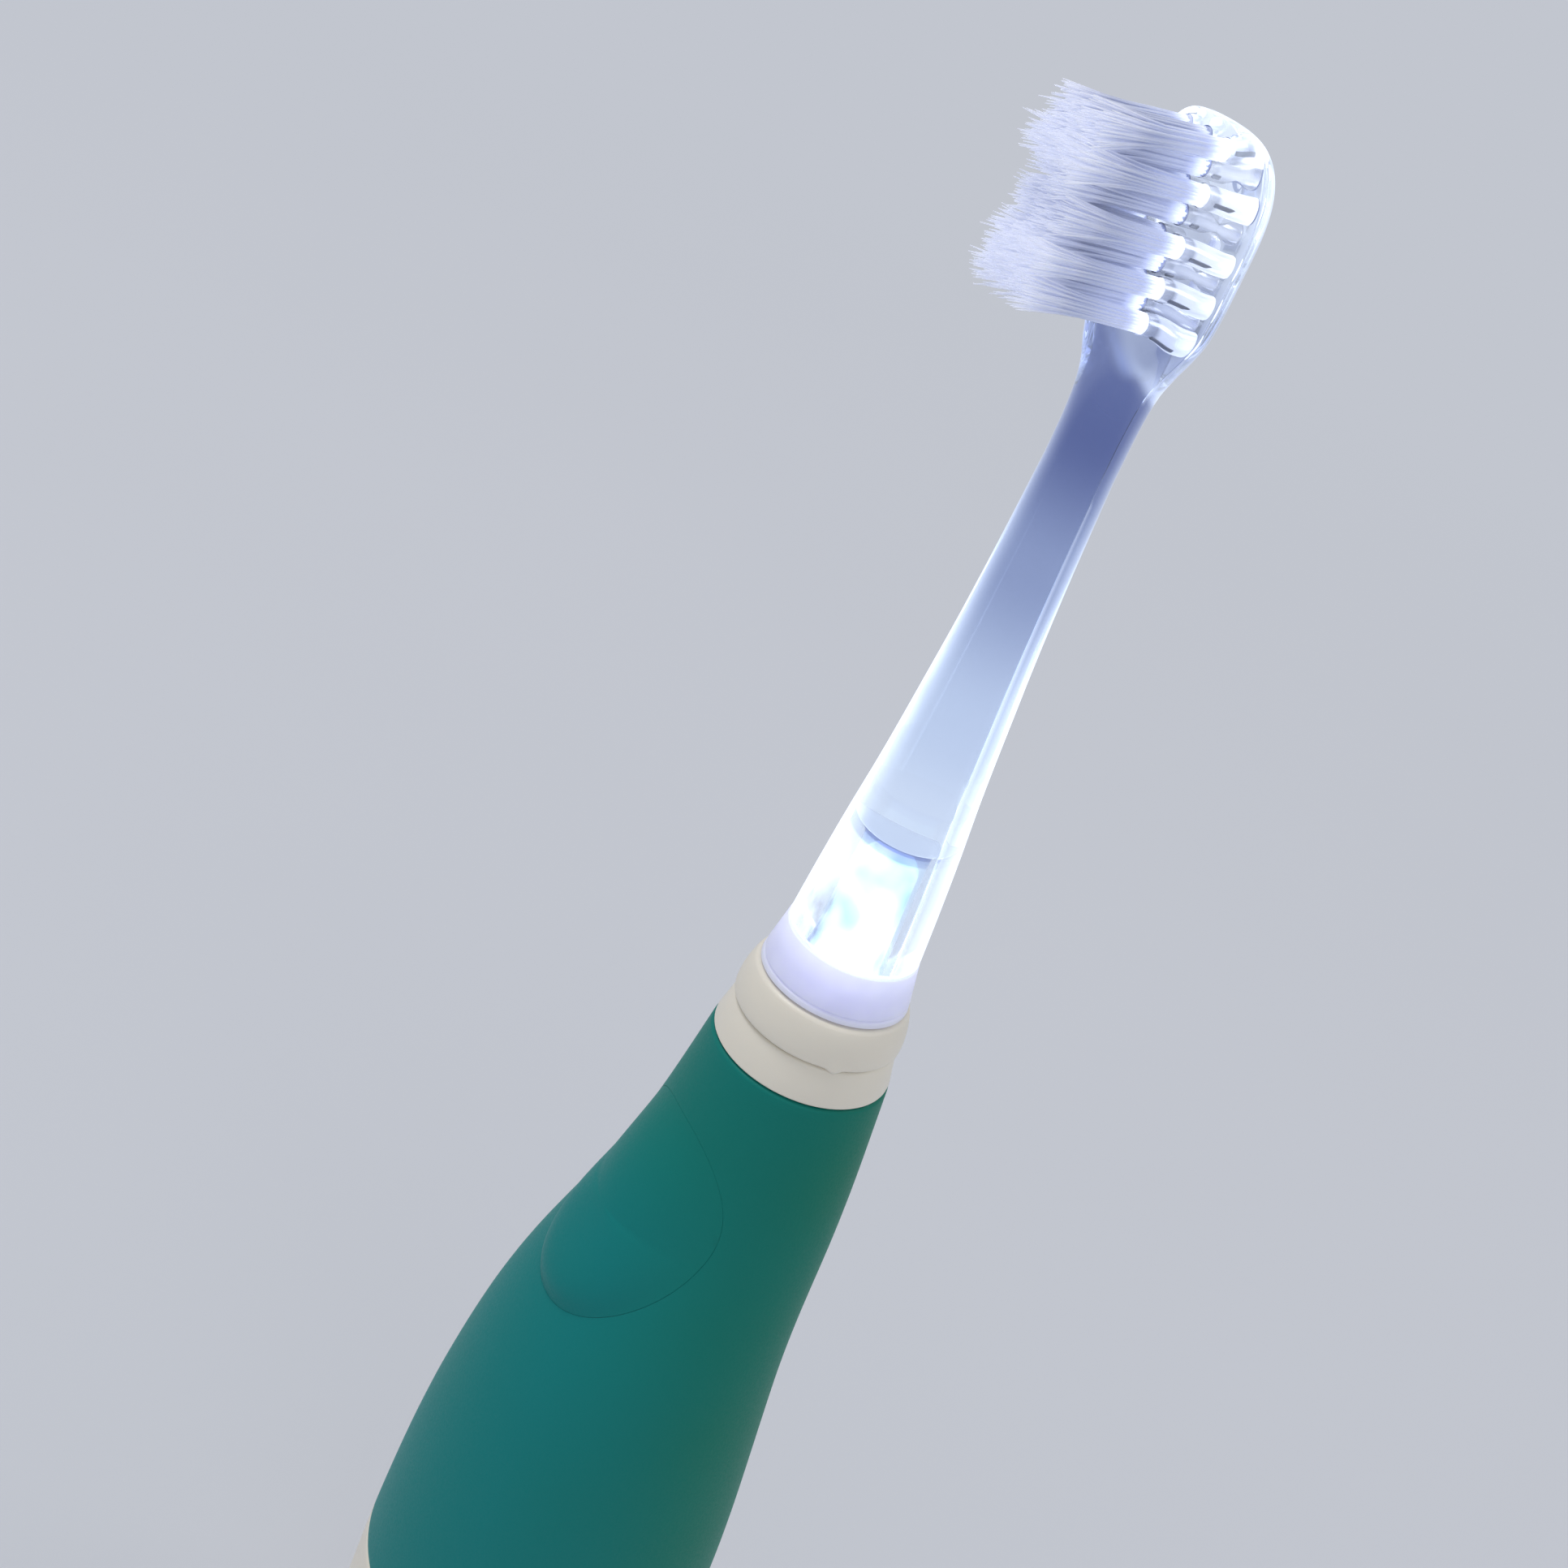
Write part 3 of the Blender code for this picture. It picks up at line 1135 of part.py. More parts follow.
def make_toothbrush():
    ivory = plain_material("ivory ABS", (0.80, 0.77, 0.68), 0.45, 0)
    teal = plain_material("teal soft rubber", (0.0, 0.27, 0.24), 0.6, 0)
    clear = plain_material("clear copolyester", (0.82, 0.88, 0.95), 0.08, 0)
    frosted = plain_material("frosted ring", (0.72, 0.70, 0.90), 0.35, 0)
    nylon = plain_material("nylon bristle", (0.86, 0.89, 0.95), 0.4, 0)
    dark_rubber = plain_material("grey rubber", (0.12, 0.12, 0.13), 0.75, 0)
    frame_plastic = plain_material("grey frame plastic", (0.30, 0.31, 0.33), 0.5, 0)
    fibreglass = plain_material("green circuit board", (0.02, 0.20, 0.08), 0.45, 0)
    black_plastic = plain_material("black plastic", (0.02, 0.02, 0.02), 0.4, 0)
    steel = plain_material("plated steel", (0.62, 0.62, 0.62), 0.3, 1)
    brass = plain_material("brass", (0.72, 0.52, 0.22), 0.3, 1)
    tungsten = plain_material("sintered weight", (0.30, 0.30, 0.31), 0.5, 1)
    cell_wrap = plain_material("cell wrap", (0.08, 0.10, 0.14), 0.35, 0)
    lamp_lens = plain_material("lamp lens", (0.95, 0.97, 1.0), 0.1, 0)
    wire_cover = plain_material("wire cover", (0.55, 0.04, 0.03), 0.5, 0)

    cover_pivot = pivot("cover_slide", (0, handle_shift(COVER_HEIGHT), COVER_HEIGHT))
    cell_pivot = pivot("cell_slide", (0, -CELL_SHIFT, CELL_FOOT))
    button_pivot = pivot("button_slide", (0, front_skin(0, BUTTON_HEIGHT), BUTTON_HEIGHT))
    stem_pivot = pivot("switch_slide", (0, BOARD_FACE, SWITCH_HEIGHT))
    rock_pivot = pivot("rock_hinge", (0, 0, ROCK_HEIGHT))
    spin_pivot = pivot("spin_hinge", (0, 0, MOTOR_TOP))
    head_pivot = pivot("head_slide", (0, 0, RING_FOOT))

    make_handle_body(ivory)
    make_grip_sleeve(teal)
    make_nose_cap(ivory)
    make_nose_seal(dark_rubber)
    make_chassis(frame_plastic)
    make_positive_contact(steel)
    make_negative_strip(steel)
    make_board(fibreglass)
    make_board_parts(black_plastic, ivory)
    make_tact_switch(black_plastic)
    make_motor_leads(wire_cover)

    make_power_button(teal, button_pivot)
    make_button_plunger(ivory, button_pivot)
    make_switch_stem(brass, stem_pivot)

    make_motor(steel, black_plastic, brass, rock_pivot)
    make_cradle(frame_plastic, rock_pivot)
    make_stem(steel, rock_pivot)
    make_light_post(clear, rock_pivot)
    make_lamp(lamp_lens, steel, rock_pivot)
    make_rotor(steel, tungsten, spin_pivot)

    make_battery(cell_wrap, cell_pivot)
    make_battery_cover(ivory, cover_pivot)
    make_o_ring(dark_rubber, cover_pivot)
    make_cover_contact(steel, cover_pivot)
    make_negative_spring(steel, cover_pivot)
    make_base_pad(teal, cover_pivot)

    make_brush_neck(clear, head_pivot)
    make_bristles(nylon, head_pivot)
    make_head_ring(frosted, head_pivot)


clear_scene()
make_toothbrush()
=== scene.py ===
"""A child's battery toothbrush with a lit brush head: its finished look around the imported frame.

The brush stands upright on its foot. +Z runs up the neck, the bristles and the button face -Y.
Lengths are in metres, and every piece sits where its solid does.
"""

import math
import random

import bmesh
import bpy
from bpy.props import FloatProperty, FloatVectorProperty, IntProperty, PointerProperty
from mathutils import Matrix, Vector


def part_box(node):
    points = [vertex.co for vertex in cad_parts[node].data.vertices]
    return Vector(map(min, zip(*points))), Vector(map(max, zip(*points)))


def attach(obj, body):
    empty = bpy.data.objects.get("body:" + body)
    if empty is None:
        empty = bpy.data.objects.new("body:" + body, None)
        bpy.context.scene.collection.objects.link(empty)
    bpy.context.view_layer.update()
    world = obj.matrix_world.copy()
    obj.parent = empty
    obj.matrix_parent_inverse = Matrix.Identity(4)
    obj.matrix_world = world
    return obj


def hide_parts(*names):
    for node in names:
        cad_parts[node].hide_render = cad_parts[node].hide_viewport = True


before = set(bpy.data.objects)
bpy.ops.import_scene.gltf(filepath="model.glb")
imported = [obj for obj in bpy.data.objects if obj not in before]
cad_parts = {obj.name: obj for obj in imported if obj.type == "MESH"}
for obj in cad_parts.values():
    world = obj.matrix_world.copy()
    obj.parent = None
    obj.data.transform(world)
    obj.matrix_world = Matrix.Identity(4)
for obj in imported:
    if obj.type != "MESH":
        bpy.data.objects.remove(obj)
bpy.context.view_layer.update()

bl_info = {
    "name": "Lit Battery Toothbrush",
    "version": (1, 0, 0),
    "blender": (4, 5, 0),
    "location": "3D View > Sidebar > Toothbrush",
    "description": "Builds the finished pieces of a child's lit battery toothbrush",
    "category": "Object",
}

MM = 0.001
QUARTER_TURN = math.pi / 2
HALF_TURN = math.pi
FULL_TURN = 2 * math.pi


# Sizes that the frame gives

BOXES = {name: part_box(name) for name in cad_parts}


def low(node):
    return BOXES[node][0]


def high(node):
    return BOXES[node][1]


GAP = 0.3 * MM               # room that the solids leave between two seated pieces
SEAM_CLOSED = 0.2 * MM       # how much of that room the edge of a seam fills
GRIP_FOOT, GRIP_TOP = low("grip_sleeve").z, high("grip_sleeve").z
COVER_FOOT = low("battery_cover").z
COVER_TOP = GRIP_FOOT - GAP
SPIGOT_TOP = high("battery_cover").z
PAD_TOP = high("base_pad").z
COLLAR_FOOT = GRIP_TOP + GAP
COLLAR_TOP = high("handle_body").z
NOSE_TOP = high("nose_cap").z
RING_FOOT, RING_TOP = low("head_ring").z, high("head_ring").z
NECK_FOOT = RING_TOP + GAP
SOCKET_FOOT = low("brush_neck").z
HEAD_TIP = high("brush_neck").z
NECK_LENGTH = 41.6 * MM
HEAD_FOOT = NECK_FOOT + NECK_LENGTH
HEAD_LENGTH = HEAD_TIP - HEAD_FOOT
POST_FOOT, POST_TOP = low("light_post").z, high("light_post").z
STEM_FOOT, STEM_TOP = low("drive_stem").z, high("drive_stem").z
STEM_RADIUS = high("drive_stem").x
LAMP_FOOT, LAMP_TOP = low("led_lamp").z, high("led_lamp").z
CELL_FOOT, CELL_TIP = low("battery").z, high("battery").z
BUTTON_HEIGHT = (low("power_button").z + high("power_button").z) / 2

# Sizes of the handle, as the solids have them
BELLY_RADIUS = 15.8 * MM
BELLY_SHIFT = 3.4 * MM
COLLAR_FOOT_RADIUS = 7.75 * MM
COLLAR_TOP_RADIUS = 7.0 * MM
NOSE_FOOT_RADIUS = 7.15 * MM
NOSE_TOP_RADIUS = 6.5 * MM
GRIP_WALL = 1.3 * MM
BODY_INSET = 1.6 * MM
BODY_WALL = 2.8 * MM
NOSE_BORE = 5.15 * MM
BUTTON_HALF_WIDTH = 8.0 * MM
BUTTON_HALF_LENGTH = 9.9 * MM
BUTTON_WALL = 0.7 * MM
BUTTON_POWER = 2.2

# Sizes of the brush head
RING_FOOT_RADIUS = 6.35 * MM
RING_TOP_RADIUS = 5.62 * MM
RING_BORE = 5.17 * MM
SPIGOT_RADIUS = 4.87 * MM
SOCKET_FOOT_RADIUS = 3.37 * MM
SOCKET_TOP_RADIUS = 2.77 * MM
SOCKET_DEPTH = 13.9 * MM
SOCKET_ROOF = SOCKET_FOOT + SOCKET_DEPTH
NECK_FOOT_RADIUS = 5.55 * MM
NECK_TOP_RADIUS = 2.65 * MM
NECK_SIDES = 96
SEAM_ANGLE = 0.016           # half the width of a parting line's ridge, as an angle round the neck
HEAD_WIDTH = 10.5 * MM
HEAD_FRONT = 2.6 * MM
HEAD_BACK = 3.0 * MM
FRONT_POWER = 5.0
BACK_POWER = 2.2

# Tuft holes: where the first and last row lie, as shares of the head's length, and mm off the even pitch
FIRST_ROW = 0.446
LAST_ROW = 0.936
COLUMN_PITCH = 2.2 * MM
TUFT_ROWS = (3, 2, 3, 2, 3, 2, 3, 2, 3)
ROW_SHIFTS = (0.3, 0.0, -0.3, -0.35, -0.5, -0.1, 0.0, 0.1, 0.0)
HOLE_RADIUS = 0.8 * MM
HOLE_DEPTH_SHARE = 0.38      # how far into the back a hole goes, measured at its upper rim

# Outline of the handle: share of the height up to the collar, of the radius, and of the belly's shift
HANDLE_SHARES = (
    (0.00, 0.70, 0.80), (0.04, 0.87, 0.82), (0.12, 0.97, 0.85), (0.27, 1.00, 0.88),
    (0.43, 0.945, 0.93), (0.54, 0.82, 1.00), (0.65, 0.645, 0.97), (0.72, 0.49, 0.76),
    (0.79, 0.33, 0.36), (0.87, 0.19, 0.08), (1.00, 0.00, 0.00),
)
# Taper of the neck: height share, and radius share from its top to its foot
NECK_SHARES = (
    (0.00, 1.00), (0.12, 0.87), (0.24, 0.72), (0.37, 0.53),
    (0.53, 0.35), (0.68, 0.20), (0.84, 0.085), (1.00, 0.00),
)
# Flare of the head: length share, share of its growth from the neck, flatness of its face
FLARE_SHARES = (
    (0.00, 0.00, 0.00), (0.10, 0.00, 0.00), (0.19, 0.03, 0.05), (0.27, 0.13, 0.25),
    (0.34, 0.38, 0.80), (0.41, 0.70, 1.00), (0.48, 0.93, 1.00), (0.58, 1.00, 1.00), (0.70, 1.00, 1.00),
)
# The rounded tip: how square each outline runs into it, and where the very tip lies in the depth
TIP_START = 0.70
TIP_SQUARENESS = {"width": 3.3, "front": 8.0, "back": 2.3}
TIP_FRONT_SHARE = 0.54
TIP_BACK_SHARE = -0.47


# Colours and materials

# The part of its range where nearly all of a noise lies
MIDDLE = {"From Min": 0.3, "From Max": 0.7}
# Level direction from the lit side of the socket to its clear side
CLEAR_SIDE = (0.616, 0.788, 0.0)


def srgb(code):
    """A colour written as six hex digits, in the linear values that a shader takes. Other values stay."""
    if not isinstance(code, str):
        return code
    linear = []
    for start in (0, 2, 4):
        value = int(code[start:start + 2], 16) / 255
        linear.append(value / 12.92 if value <= 0.04045 else ((value + 0.055) / 1.055) ** 2.4)
    return (*linear, 1.0)


def toned(colour, share):
    """A colour made darker or paler by a share."""
    return (*(min(part * share, 1.0) for part in srgb(colour)[:3]), 1.0)


def add(tree, kind, sockets=None, **settings):
    """One node with its settings. Each socket gets a value, or a link from another socket or node."""
    node = tree.nodes.new("ShaderNode" + kind)
    for name, value in settings.items():
        setattr(node, name, value)
    for name, value in (sockets or {}).items():
        if isinstance(value, bpy.types.Node):
            value = next(output for output in value.outputs if output.enabled)
        if isinstance(value, bpy.types.NodeSocket):
            tree.links.new(value, node.inputs[name])
        else:
            node.inputs[name].default_value = srgb(value)
    return node


def recipe(sockets_of):
    """Makes materials from a function that gives the principled shader's sockets, by their names."""
    def make(name, *choices, **options):
        material = bpy.data.materials.new(name)
        material.use_nodes = True
        tree = material.node_tree
        tree.nodes.clear()
        shader = add(tree, "BsdfPrincipled", {
            socket.replace("_", " ").title().replace("Ior", "IOR"): value
            for socket, value in sockets_of(tree, *choices, **options).items()})
        add(tree, "OutputMaterial", {"Surface": shader})
        return material
    return make


def looked_at(tree):
    """1 for a ray on which the camera looks, also by way of a gloss or through clear plastic, otherwise 0."""
    ray = add(tree, "LightPath").outputs
    seen = ray["Is Camera Ray"]
    for way in ("Is Glossy Ray", "Is Transmission Ray"):
        seen = add(tree, "Math", {0: seen, 1: ray[way]}, operation="MAXIMUM")
    return seen


def grain(tree, size, detail=2.0, scale=(1.0, 1.0, 1.0)):
    """Noise whose grains are size metres across, drawn out where a finish has a direction."""
    place = add(tree, "Mapping", {"Vector": add(tree, "TexCoord").outputs["Object"], "Scale": scale})
    return add(tree, "TexNoise", {"Vector": place, "Scale": 1 / size, "Detail": detail})


def clouded(tree, pattern, tone, other):
    """One tone that passes into another with a pattern."""
    factor = add(tree, "MapRange", {"Value": pattern, **MIDDLE})
    return add(tree, "Mix", {"Factor": factor, "A": tone, "B": other}, data_type="RGBA")


def gloss(tree, pattern, polished, dull, depth=0.0):
    """Roughness that varies with a pattern, and the bump of a depth in metres that the pattern raises."""
    roughness = add(tree, "MapRange", {"Value": pattern, "To Min": polished, "To Max": dull, **MIDDLE})
    if not depth:
        return {"roughness": roughness}
    bump = add(tree, "Bump", {"Height": pattern, "Strength": 1.0, "Distance": depth})
    return {"roughness": roughness, "normal": bump}


def ladder(tree, steps, axis="Z", along=None):
    """Tones or strengths by steps in metres, along one axis of the object or another length."""
    if along is None:
        along = add(tree, "SeparateXYZ", {"Vector": add(tree, "TexCoord").outputs["Object"]}).outputs[axis]
    start, end = steps[0][0], steps[-1][0]
    share = add(tree, "MapRange", {"Value": along, "From Min": start, "From Max": end})
    ramp = add(tree, "ValToRGB", {"Fac": share})
    ramp.color_ramp.interpolation = "EASE"
    points = ramp.color_ramp.elements
    for index, (height, tone) in enumerate(steps):
        at = (height - start) / (end - start)
        point = points[index] if index < 2 else points.new(at)
        point.position = at
        point.color = (tone, tone, tone, 1.0) if isinstance(tone, float) else srgb(tone)
    return ramp


def aside_of(tree):
    """How far a point lies towards the clear side of the socket, in metres."""
    place = add(tree, "TexCoord").outputs["Object"]
    return add(tree, "VectorMath", {0: place, 1: CLEAR_SIDE}, operation="DOT_PRODUCT")


def painted_light_by_column(tree):
    """Painted light: strong in the column of tufts in the brightest part of the head, weaker in the others,
    which carry less of the light.
    """
    return ladder(tree, (
        (-3.2 * MM, 0.4), (0.0, 0.08), (1.8 * MM, 0.1), (2.05 * MM, 1.0), (3.2 * MM, 1.0)), axis="X")


def up_head(millimetres):
    """A height counted from the foot of the head."""
    return HEAD_FOOT + millimetres * MM


@recipe
def seamless_paper(tree, colour):
    """Matt coated paper: one tone, a trace uneven over a hand's breadth."""
    return dict(base_color=clouded(tree, grain(tree, 120 * MM), colour, toned(colour, 0.992)),
                roughness=0.9, specular_ior_level=0.1)


@recipe
def teal_elastomer(tree, colour, shade):
    """Thermoplastic elastomer from a spark-eroded mould: dull and soft, with a pale bloom at its edges."""
    # painted light: bluer in front and greener behind, a tint of the light falling on each side; on top of it
    # the dye drifts over some 25 mm as thick and thin walls take it
    side = ladder(tree, ((-BELLY_RADIUS - BELLY_SHIFT, 0.0), (BELLY_RADIUS - BELLY_SHIFT, 1.0)), axis="Y")
    cloud = grain(tree, 25 * MM, 1.0)
    drift = add(tree, "MapRange", {"Value": cloud, "To Min": -0.2, "To Max": 0.2, **MIDDLE})
    painted_side_tint_and_drift = add(tree, "Math", {0: side, 1: drift}, operation="ADD")
    # the eroded grain is about 0.05 mm: drawn at 0.22 mm, or it would not show
    fine = grain(tree, 0.22 * MM, 3.0)
    return dict(
        base_color=add(tree, "Mix", {"Factor": painted_side_tint_and_drift, "A": colour, "B": shade}, data_type="RGBA"),
        **gloss(tree, fine, 0.46, 0.6, 0.010 * MM), ior=1.47, specular_ior_level=0.22,
        sheen_weight=0.06, sheen_roughness=0.4, sheen_tint="9FD8C8",
        subsurface_weight=0.08, subsurface_radius=(0.2, 1.0, 0.9), subsurface_scale=0.8 * MM)


@recipe
def ivory_abs(tree, colour):
    """Moulded ABS with a satin skin: a soft highlight and a little light under the surface."""
    # flow marks lie round the collar, some 6 mm long and 2 mm apart
    flow = grain(tree, 6 * MM, scale=(1.0, 1.0, 3.0))
    return dict(
        base_color=clouded(tree, flow, colour, toned(colour, 0.98)),
        **gloss(tree, grain(tree, 0.3 * MM), 0.34, 0.46, 0.004 * MM), ior=1.54,
        subsurface_weight=0.12, subsurface_radius=(1.0, 0.8, 0.6), subsurface_scale=0.6 * MM)


@recipe
def frosted_polypropylene(tree, colour):
    """Translucent polypropylene with a matt skin: a painted lavender glow, stronger towards its top, stands
    in for the lamp's light that fills it.
    """
    return dict(
        base_color=clouded(tree, grain(tree, 3 * MM), colour, toned(colour, 1.08)),
        **gloss(tree, grain(tree, 0.25 * MM), 0.32, 0.42), ior=1.49,
        subsurface_weight=0.6, subsurface_radius=(1.0, 0.9, 1.2), subsurface_scale=1.5 * MM,
        # painted glow: emission in place of the lamp's light, growing towards the ring's top
        emission_color="D6DAF6",
        emission_strength=ladder(tree, ((RING_FOOT, 0.11), (RING_FOOT + 1.6 * MM, 0.16), (RING_TOP, 0.30))))


@recipe
def clear_copolyester(tree):
    """Clear copolyester from a polished mould: like glass, bluer up the neck, with painted light in its tint
    and a painted glow at its rims.
    """
    # partly the plastic's blue tint, partly painted light and shade: palest near the lamp and at the tip,
    # deepest blue at the head's foot
    neck = ladder(tree, (
        (SOCKET_FOOT, "F4F8FF"), (up_head(-30), "DCE9FB"), (up_head(-22), "C2D3F0"),
        (up_head(-8), "94A6D6"), (up_head(3), "6E7FBE")))
    head = ladder(tree, (
        (up_head(9), "BCC9EC"), (up_head(17), "DCE4F7"), (HEAD_TIP, "F4F8FF")))
    # the head's tint, with its painted light, begins on a slant: sooner on the side where the light gathers
    height = add(tree, "SeparateXYZ", {"Vector": add(tree, "TexCoord").outputs["Object"]}).outputs["Z"]
    slanted = add(tree, "Math", {0: height, 1: aside_of(tree)}, operation="ADD")
    in_head = ladder(tree, ((up_head(7.8), 0.0), (up_head(9.4), 1.0)), along=slanted)
    # painted glow: emission at the rims, where the surface turns away, stands in for the light that leaves
    # the plastic there
    facing = add(tree, "LayerWeight", {"Blend": 0.5}).outputs["Facing"]
    edge = add(tree, "MapRange", {"Value": facing, "From Min": 0.18, "From Max": 0.8},
               interpolation_type="SMOOTHSTEP")
    rims = ladder(tree, (
        (SOCKET_FOOT, 0.62), (up_head(-20), 0.6), (HEAD_FOOT, 0.28), (up_head(6), 0.2),
        (HEAD_TIP - 8 * MM, 0.2), (HEAD_TIP, 0.5)))
    # painted glow all over, by height: strongest low in the neck and at the tip
    painted_glow_by_height = ladder(tree, (
        (SOCKET_FOOT, 0.10), (up_head(-30), 0.16), (up_head(-20), 0.15), (up_head(-8), 0.07),
        (up_head(2), 0.0), (up_head(12), 0.03), (HEAD_TIP - 6 * MM, 0.08), (HEAD_TIP - 3 * MM, 0.16),
        (HEAD_TIP, 0.28)))
    glow = add(tree, "Math", {0: edge, 1: rims, 2: painted_glow_by_height}, operation="MULTIPLY_ADD")
    # and a painted patch of light gathers on one side, where the neck opens into the head
    painted_light_patch = ladder(tree, (
        (up_head(8.4), 0.0), (up_head(9.6), 0.5), (up_head(12), 0.3), (up_head(14), 0.0)), along=slanted)
    low_down = ladder(tree, ((up_head(6.5), 1.0), (up_head(9.5), 0.0)))
    # polish marks of the tool, a few micrometres deep: only the highlights waver
    wave = grain(tree, 2.5 * MM, 1.0, (1.0, 1.0, 0.3))
    return dict(
        base_color=add(tree, "Mix", {"Factor": in_head, "A": neck, "B": head}, data_type="RGBA"),
        emission_color="DFECFF",
        emission_strength=add(tree, "Math", {0: painted_light_patch, 1: low_down, 2: glow}, operation="MULTIPLY_ADD"),
        **gloss(tree, wave, 0.015, 0.05, 0.008 * MM), ior=1.54, transmission_weight=1.0)


@recipe
def lit_socket_wall(tree):
    """Wall of the lit socket, with a painted glow: white but for cool patches, a clear strip and a painted
    dark edge of shade at its roof.
    """
    # painted shade at the roof: a blue band below it, darkest in a line just under it
    line = SOCKET_ROOF - 0.06 * MM
    tint = ladder(tree, (
        (SOCKET_FOOT, "F6FBFF"), (SOCKET_ROOF - 1.05 * MM, "EEF8FF"),
        (SOCKET_ROOF - 0.85 * MM, "A9B6E0"), (SOCKET_ROOF - 0.4 * MM, "8E9CCE"),
        (SOCKET_ROOF - 0.28 * MM, "414F96"), (line, "2E3B82"), (SOCKET_ROOF, "C9D3F0")))
    aside = aside_of(tree)
    strip = add(tree, "MapRange", {
        "Value": aside, "From Min": 1.1 * MM, "From Max": 1.9 * MM, "To Min": 1.0, "To Max": 0.04},
        interpolation_type="SMOOTHSTEP")
    upright = ladder(tree, (
        (SOCKET_FOOT, 0.75), (SOCKET_ROOF - 1.2 * MM, 0.65), (SOCKET_ROOF - 0.9 * MM, 0.03),
        (SOCKET_ROOF, 0.0)))
    painted_glow_patch = grain(tree, 3.6 * MM, 1.0, (1.0, 1.0, 0.6))
    # painted reflection: low on the far side the wall mirrors the dark bore below it, in thin curved streaks
    turned_off = add(tree, "MapRange", {"Value": aside, "From Min": -1.8 * MM, "From Max": -2.5 * MM},
                     interpolation_type="SMOOTHSTEP")
    low_down = ladder(tree, ((SOCKET_FOOT, 1.0), (NECK_FOOT + 1.5 * MM, 0.9), (NECK_FOOT + 4.0 * MM, 0.0)))
    streak = add(tree, "MapRange", {
        "Value": grain(tree, 1.3 * MM, scale=(1.0, 1.0, 0.4)), "To Min": -0.2, "To Max": 1.6, **MIDDLE})
    place = add(tree, "Math", {0: turned_off, 1: low_down}, operation="MULTIPLY")
    dark = add(tree, "Math", {0: place, 1: streak}, operation="MULTIPLY", use_clamp=True)
    glow = add(tree, "Math", {0: 1.0, 1: dark}, operation="SUBTRACT")
    for factor in (strip, upright, add(tree, "MapRange", {"Value": painted_glow_patch, **MIDDLE})):
        glow = add(tree, "Math", {0: glow, 1: factor}, operation="MULTIPLY")
    return dict(
        base_color=add(tree, "Mix", {"Factor": dark, "A": tint, "B": "2F4A80"}, data_type="RGBA"),
        emission_color=clouded(tree, painted_glow_patch, "BFE8E6", "FFFFFF"), emission_strength=glow,
        roughness=ladder(tree, ((SOCKET_FOOT, 0.08), (line, 0.10), (SOCKET_ROOF, 0.45))),
        ior=1.54, transmission_weight=0.9)


@recipe
def tuft_hole_wall(tree):
    """Wall of a tuft hole: dull and grey-blue at its mouth, with a painted white glow towards its end for the
    light of the wedged filaments there.
    """
    pale = add(tree, "Mix", {"Factor": grain(tree, 0.6 * MM), "A": "B4BDDC", "B": "8A95BC"},
               data_type="RGBA")
    # painted shade: the mouths of some holes are darkened in spots
    painted_shade_spots = grain(tree, 2.6 * MM, 0.0)
    empty = add(tree, "MapRange", {"Value": painted_shade_spots, "To Min": -1.2, "To Max": 2.0, **MIDDLE})
    mouth = ladder(tree, ((-HEAD_FRONT, 1.0), (-1.4 * MM, 1.0), (-0.6 * MM, 0.0)), axis="Y")
    dark = add(tree, "Math", {0: empty, 1: mouth}, operation="MULTIPLY", use_clamp=True)
    # painted glow, stronger towards the end of the hole and in the near column
    inwards = ladder(tree, (
        (-HEAD_FRONT, 0.10), (-1.3 * MM, 0.03), (-0.7 * MM, 0.55), (0.3 * HEAD_BACK, 0.9)), axis="Y")
    return dict(
        base_color=add(tree, "Mix", {"Factor": dark, "A": pale, "B": "2B376C"}, data_type="RGBA"),
        emission_color="F0F5FF",
        emission_strength=add(tree, "Math", {0: inwards, 1: painted_light_by_column(tree)}, operation="MULTIPLY"),
        ior=1.54, transmission_weight=0.7, roughness=0.2)


@recipe
def tuft_hole_rim(tree):
    """Rounded end of the topmost tuft holes: painted shade in grey-blue, for the arc that shows where the
    rounding turns the light away.
    """
    tone = add(tree, "Mix", {"Factor": grain(tree, 0.8 * MM), "A": "6F7DB4", "B": "98A5D0"},
               data_type="RGBA")
    return dict(base_color=tone, ior=1.54, roughness=0.3)


@recipe
def lit_post(tree):
    """Clear post with a painted glow for the lamp's light that floods it: almost all white, with a few cooler
    patches where the light misses.
    """
    painted_glow_patch = grain(tree, 3.2 * MM, 1.0)
    return dict(
        base_color=clouded(tree, painted_glow_patch, "D4F0EE", "FFFFFF"),
        emission_color=clouded(tree, painted_glow_patch, "A9E0DC", "FFFFFF"),
        emission_strength=add(tree, "MapRange", {"Value": painted_glow_patch, "To Min": 0.45, "To Max": 1.1, **MIDDLE}),
        ior=1.5, roughness=0.25)


@recipe
def lamp_epoxy(tree):
    """Water-clear epoxy lens round a burning white die."""
    tone = add(tree, "Mix", {"Factor": grain(tree, 1.5 * MM), "A": "FFFFFF", "B": "EEF4FF"},
               data_type="RGBA")
    return dict(
        base_color=tone, emission_color="F4F8FF",
        emission_strength=ladder(tree, ((LAMP_FOOT, 1.5), (LAMP_FOOT + 2.4 * MM, 3.0), (LAMP_TOP, 4.0))),
        ior=1.55, roughness=0.1)


